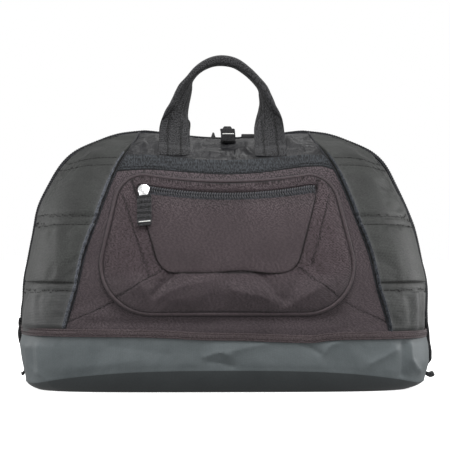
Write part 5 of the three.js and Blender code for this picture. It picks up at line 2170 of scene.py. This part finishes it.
@dataclass
class Handle(Assembly):
    """The carry handle: two flat sewn feet whose strap folds into a rolled grip."""

    foot_places: tuple[float, float] = (-53.0, 47.5)
    foot_wide: float = 33.0
    # Height, lift off the form and thickness of rows up each foot
    foot_levels: Rows = ((246.2, 0.0, 0.6), (247.6, 0.2, 1.5), (252, 0.7, 2.2), (257.5, 1.0, 2.4))
    # Height of the fold's foot and top, where the strap's edges are turned in
    fold_heights: tuple[float, float] = (279, 297)
    # Across, deep, up, width, thickness and turn of the free strap, from left to right
    stations: Rows = (
        (-53, -38.5, 270, 32.6, 2.6, 8), (-51.4, -34.5, 279, 32, 3.0, 15), (-50.6, -32.5, 286.3, 30, 3.8, 32),
        (-48.5, -31, 294, 28, 5, 44), (-46.2, -30, 301.5, 25, 6.5, 44), (-43.8, -29.3, 309, 23.5, 8, 48),
        (-40.9, -29, 317, 21.5, 8.5, 56), (-36.4, -28.7, 326, 19, 7.8, 80), (-27.5, -28.3, 336, 19, 9, 88),
        (-15, -28, 343, 20, 10.5, 90), (-2, -28, 345, 20, 11.5, 90), (12, -28, 342, 20, 11, 90),
        (25, -28.5, 333, 20, 10, 90), (35, -28.7, 323, 19, 9.5, 92), (40.5, -29.2, 315.5, 19.5, 9.5, 100),
        (42.8, -29.8, 308, 21, 9, 112), (44.6, -30.5, 300.5, 23, 8, 123), (45.3, -31.3, 293.5, 26, 6.5, 133),
        (46, -32.7, 286, 29, 4.5, 146), (46.5, -34.8, 279, 31, 3.2, 158), (46.8, -38.5, 270, 32, 2.6, 172),
    )
    count: int = 240
    # Stations of each foot that are sewn down, and where the rows lie as a share of the width
    sewn: int = 70
    row_share: float = 0.21

    def build(self) -> None:
        """Makes the strap and its stitching."""
        centers, sides, sizes = self.rows()
        piece = strap("handle", centers, sides, sizes.T, 96, self.lines)
        self.fit(piece, WEBBING, "webbing", "handle_strap")
        lines = []
        for part in (slice(0, self.sewn), slice(self.count - self.sewn, self.count)):
            aside = unit(sides[part]) * sizes[part, :1] * self.row_share
            lines += [centers[part] + aside * hand + (0, -6, 0) for hand in (-1, 1)]
        self.fit(Sewing().sew("handle_stitching", Skin(piece), lines), DARK_THREAD)

    def lines(self, z: Array, across: Array) -> Array:
        """Depth of the stitch rows on the feet and of the folded edges above them, pressed in and painted with
        shade.

        Args:
            z: Heights along the strap.
            across: Shares across it.

        Returns:
            Depths from 0 to 1.
        """
        low, high = self.fold_heights
        sewn = hump(np.abs(across), 2 * self.row_share, 0.05) * (1 - ease(z, low, low + 6))
        turned_in = 1 - 0.62 * ease(z, low - 4, high)
        edges = hump(np.abs(across), turned_in, 0.07) * ease(z, low - 4, low)
        return np.maximum(0.8 * sewn, 0.9 * edges)

    def rows(self) -> tuple[Array, Array, Array]:
        """Works out the strap's line from foot to foot.

        Returns:
            Middles, directions across, and width, thickness and squareness.
        """
        feet = []
        for place, order in zip(self.foot_places, (1, -1)):
            z, lift, thick = np.array(self.foot_levels)[::order].T
            height = lift + thick / 2
            left, on, right = (FORM.front(np.full_like(z, place + step), z, height) for step in (-6, 0, 6))
            size = np.stack([np.full_like(z, self.foot_wide), thick, np.full_like(z, 8.0)], axis=1)
            feet.append(np.concatenate([on, unit(right - left) * order, size], axis=1))
        free = np.array(self.stations, float)
        turn = np.radians(free[:, 5])
        side = np.stack([np.cos(turn), np.sin(turn), 0 * turn], axis=1)
        square = 3.0 + 5.0 * ease(7.0 - free[:, 4], 0, 4)
        strap_rows = np.concatenate([free[:, :3], side, free[:, 3:5], square[:, None]], axis=1)
        fine = through(np.concatenate([feet[0], strap_rows, feet[1]]), self.count)
        return fine[:, :3], fine[:, 3:6], fine[:, 6:9]


@dataclass
class Studio:
    """A pale floor, soft light and the camera."""

    turn: float = -2.0
    distance: float = 2600.0
    eye: float = 171.0
    shift: float = 1.6
    lens: float = 194.3
    sensor: float = 36.0
    floor_radius: float = 9.0
    floor_drop: float = 0.3
    dome: float = 0.5
    # Name, place in metres, size in metres and power in watts
    lights: tuple[tuple[str, tuple[float, float, float], float, float], ...] = (
        ("left_softbox", (-1.9, -1.6, 1.5), 1.4, 14.0), ("right_softbox", (2.0, -1.4, 1.3), 1.4, 14.0),
        ("overhead", (0.1, -1.1, 2.2), 1.0, 42.0), ("front_fill", (0.0, -3.9, 0.25), 1.8, 23.0),
        ("crown_light", (0.2, 0.9, 1.7), 0.4, 2.1), ("left_rim", (-2.2, 0.6, 0.7), 1.0, 22.0),
        ("right_rim", (2.2, 0.5, 0.6), 1.0, 30.0),
    )

    def build(self) -> None:
        """Sets the stage."""
        self.floor()
        self.world()
        self.camera()
        for row in self.lights:
            self.softbox(*row)
        bpy.context.scene.view_settings.view_transform = "Standard"

    def floor(self) -> None:
        """Lays the floor paper just under the bag."""
        deselect()
        bpy.ops.mesh.primitive_circle_add(vertices=96, radius=self.floor_radius, fill_type="NGON")
        paper = bpy.context.object
        paper.name = "floor"
        paper.data.transform(paper.matrix_world)
        for corner in paper.data.vertices:
            corner.co.z = -self.floor_drop * MM
        paper.data.materials.append(PAPER.material())
        # The paper is seen, but throws no light back up at the bag
        paper.visible_diffuse = paper.visible_glossy = False

    def world(self) -> None:
        """Surrounds the set with even white light."""
        world = bpy.data.worlds.new("studio")
        world.use_nodes = True
        sky = world.node_tree.nodes["Background"].inputs
        sky["Color"].default_value = (1, 1, 1, 1)
        seen = add_node(world.node_tree, "LightPath", {}, "Is Camera Ray")
        add_node(world.node_tree, "MapRange", {0: seen, 3: self.dome, 4: 1.0}, into=sky["Strength"])
        bpy.context.scene.world = world

    def camera(self) -> None:
        """Stands the camera level with the bag's middle, a little to the left."""
        turn = math.radians(self.turn)
        back = Vector((math.sin(turn), -math.cos(turn), 0))
        right = Vector((math.cos(turn), math.sin(turn), 0))
        lens = bpy.data.cameras.new("camera")
        lens.lens, lens.sensor_width = self.lens, self.sensor
        camera = bpy.data.objects.new("camera", lens)
        camera.location = (back * self.distance + right * self.shift + Vector((0, 0, self.eye))) * MM
        camera.rotation_euler = (-back).to_track_quat("-Z", "Y").to_euler()
        bpy.context.scene.collection.objects.link(camera)
        bpy.context.scene.camera = camera

    def softbox(self, name: str, place: tuple[float, float, float], size: float, power: float) -> None:
        """Aims a square soft light at the bag.

        Args:
            name: Its name.
            place: Where it stands, in metres.
            size: Its width in metres.
            power: Its power in watts.
        """
        lamp = bpy.data.lights.new(name, "AREA")
        lamp.size, lamp.energy = size, power
        light = bpy.data.objects.new(name, lamp)
        light.location = place
        aim = Vector((0, 0, self.eye * MM)) - light.location
        light.rotation_euler = aim.to_track_quat("-Z", "Y").to_euler()
        bpy.context.scene.collection.objects.link(light)


def main() -> None:
    """Builds the bag's sub-assemblies in order, reports each piece and sets the stage."""
    logging.basicConfig(level=logging.INFO, format="%(name)s: %(message)s")
    assemblies = [Tub(), MiddlePanels(), LEFT_WING, RIGHT_WING, BackShell(), MainZip(), Pocket(), Handle()]
    for assembly in assemblies:
        assembly.build()
        for piece in assembly.pieces:
            log.info("%s: %s, %d faces", type(assembly).__name__, piece.name, len(piece.data.polygons))
    Studio().build()


if __name__ == "__main__":
    main()
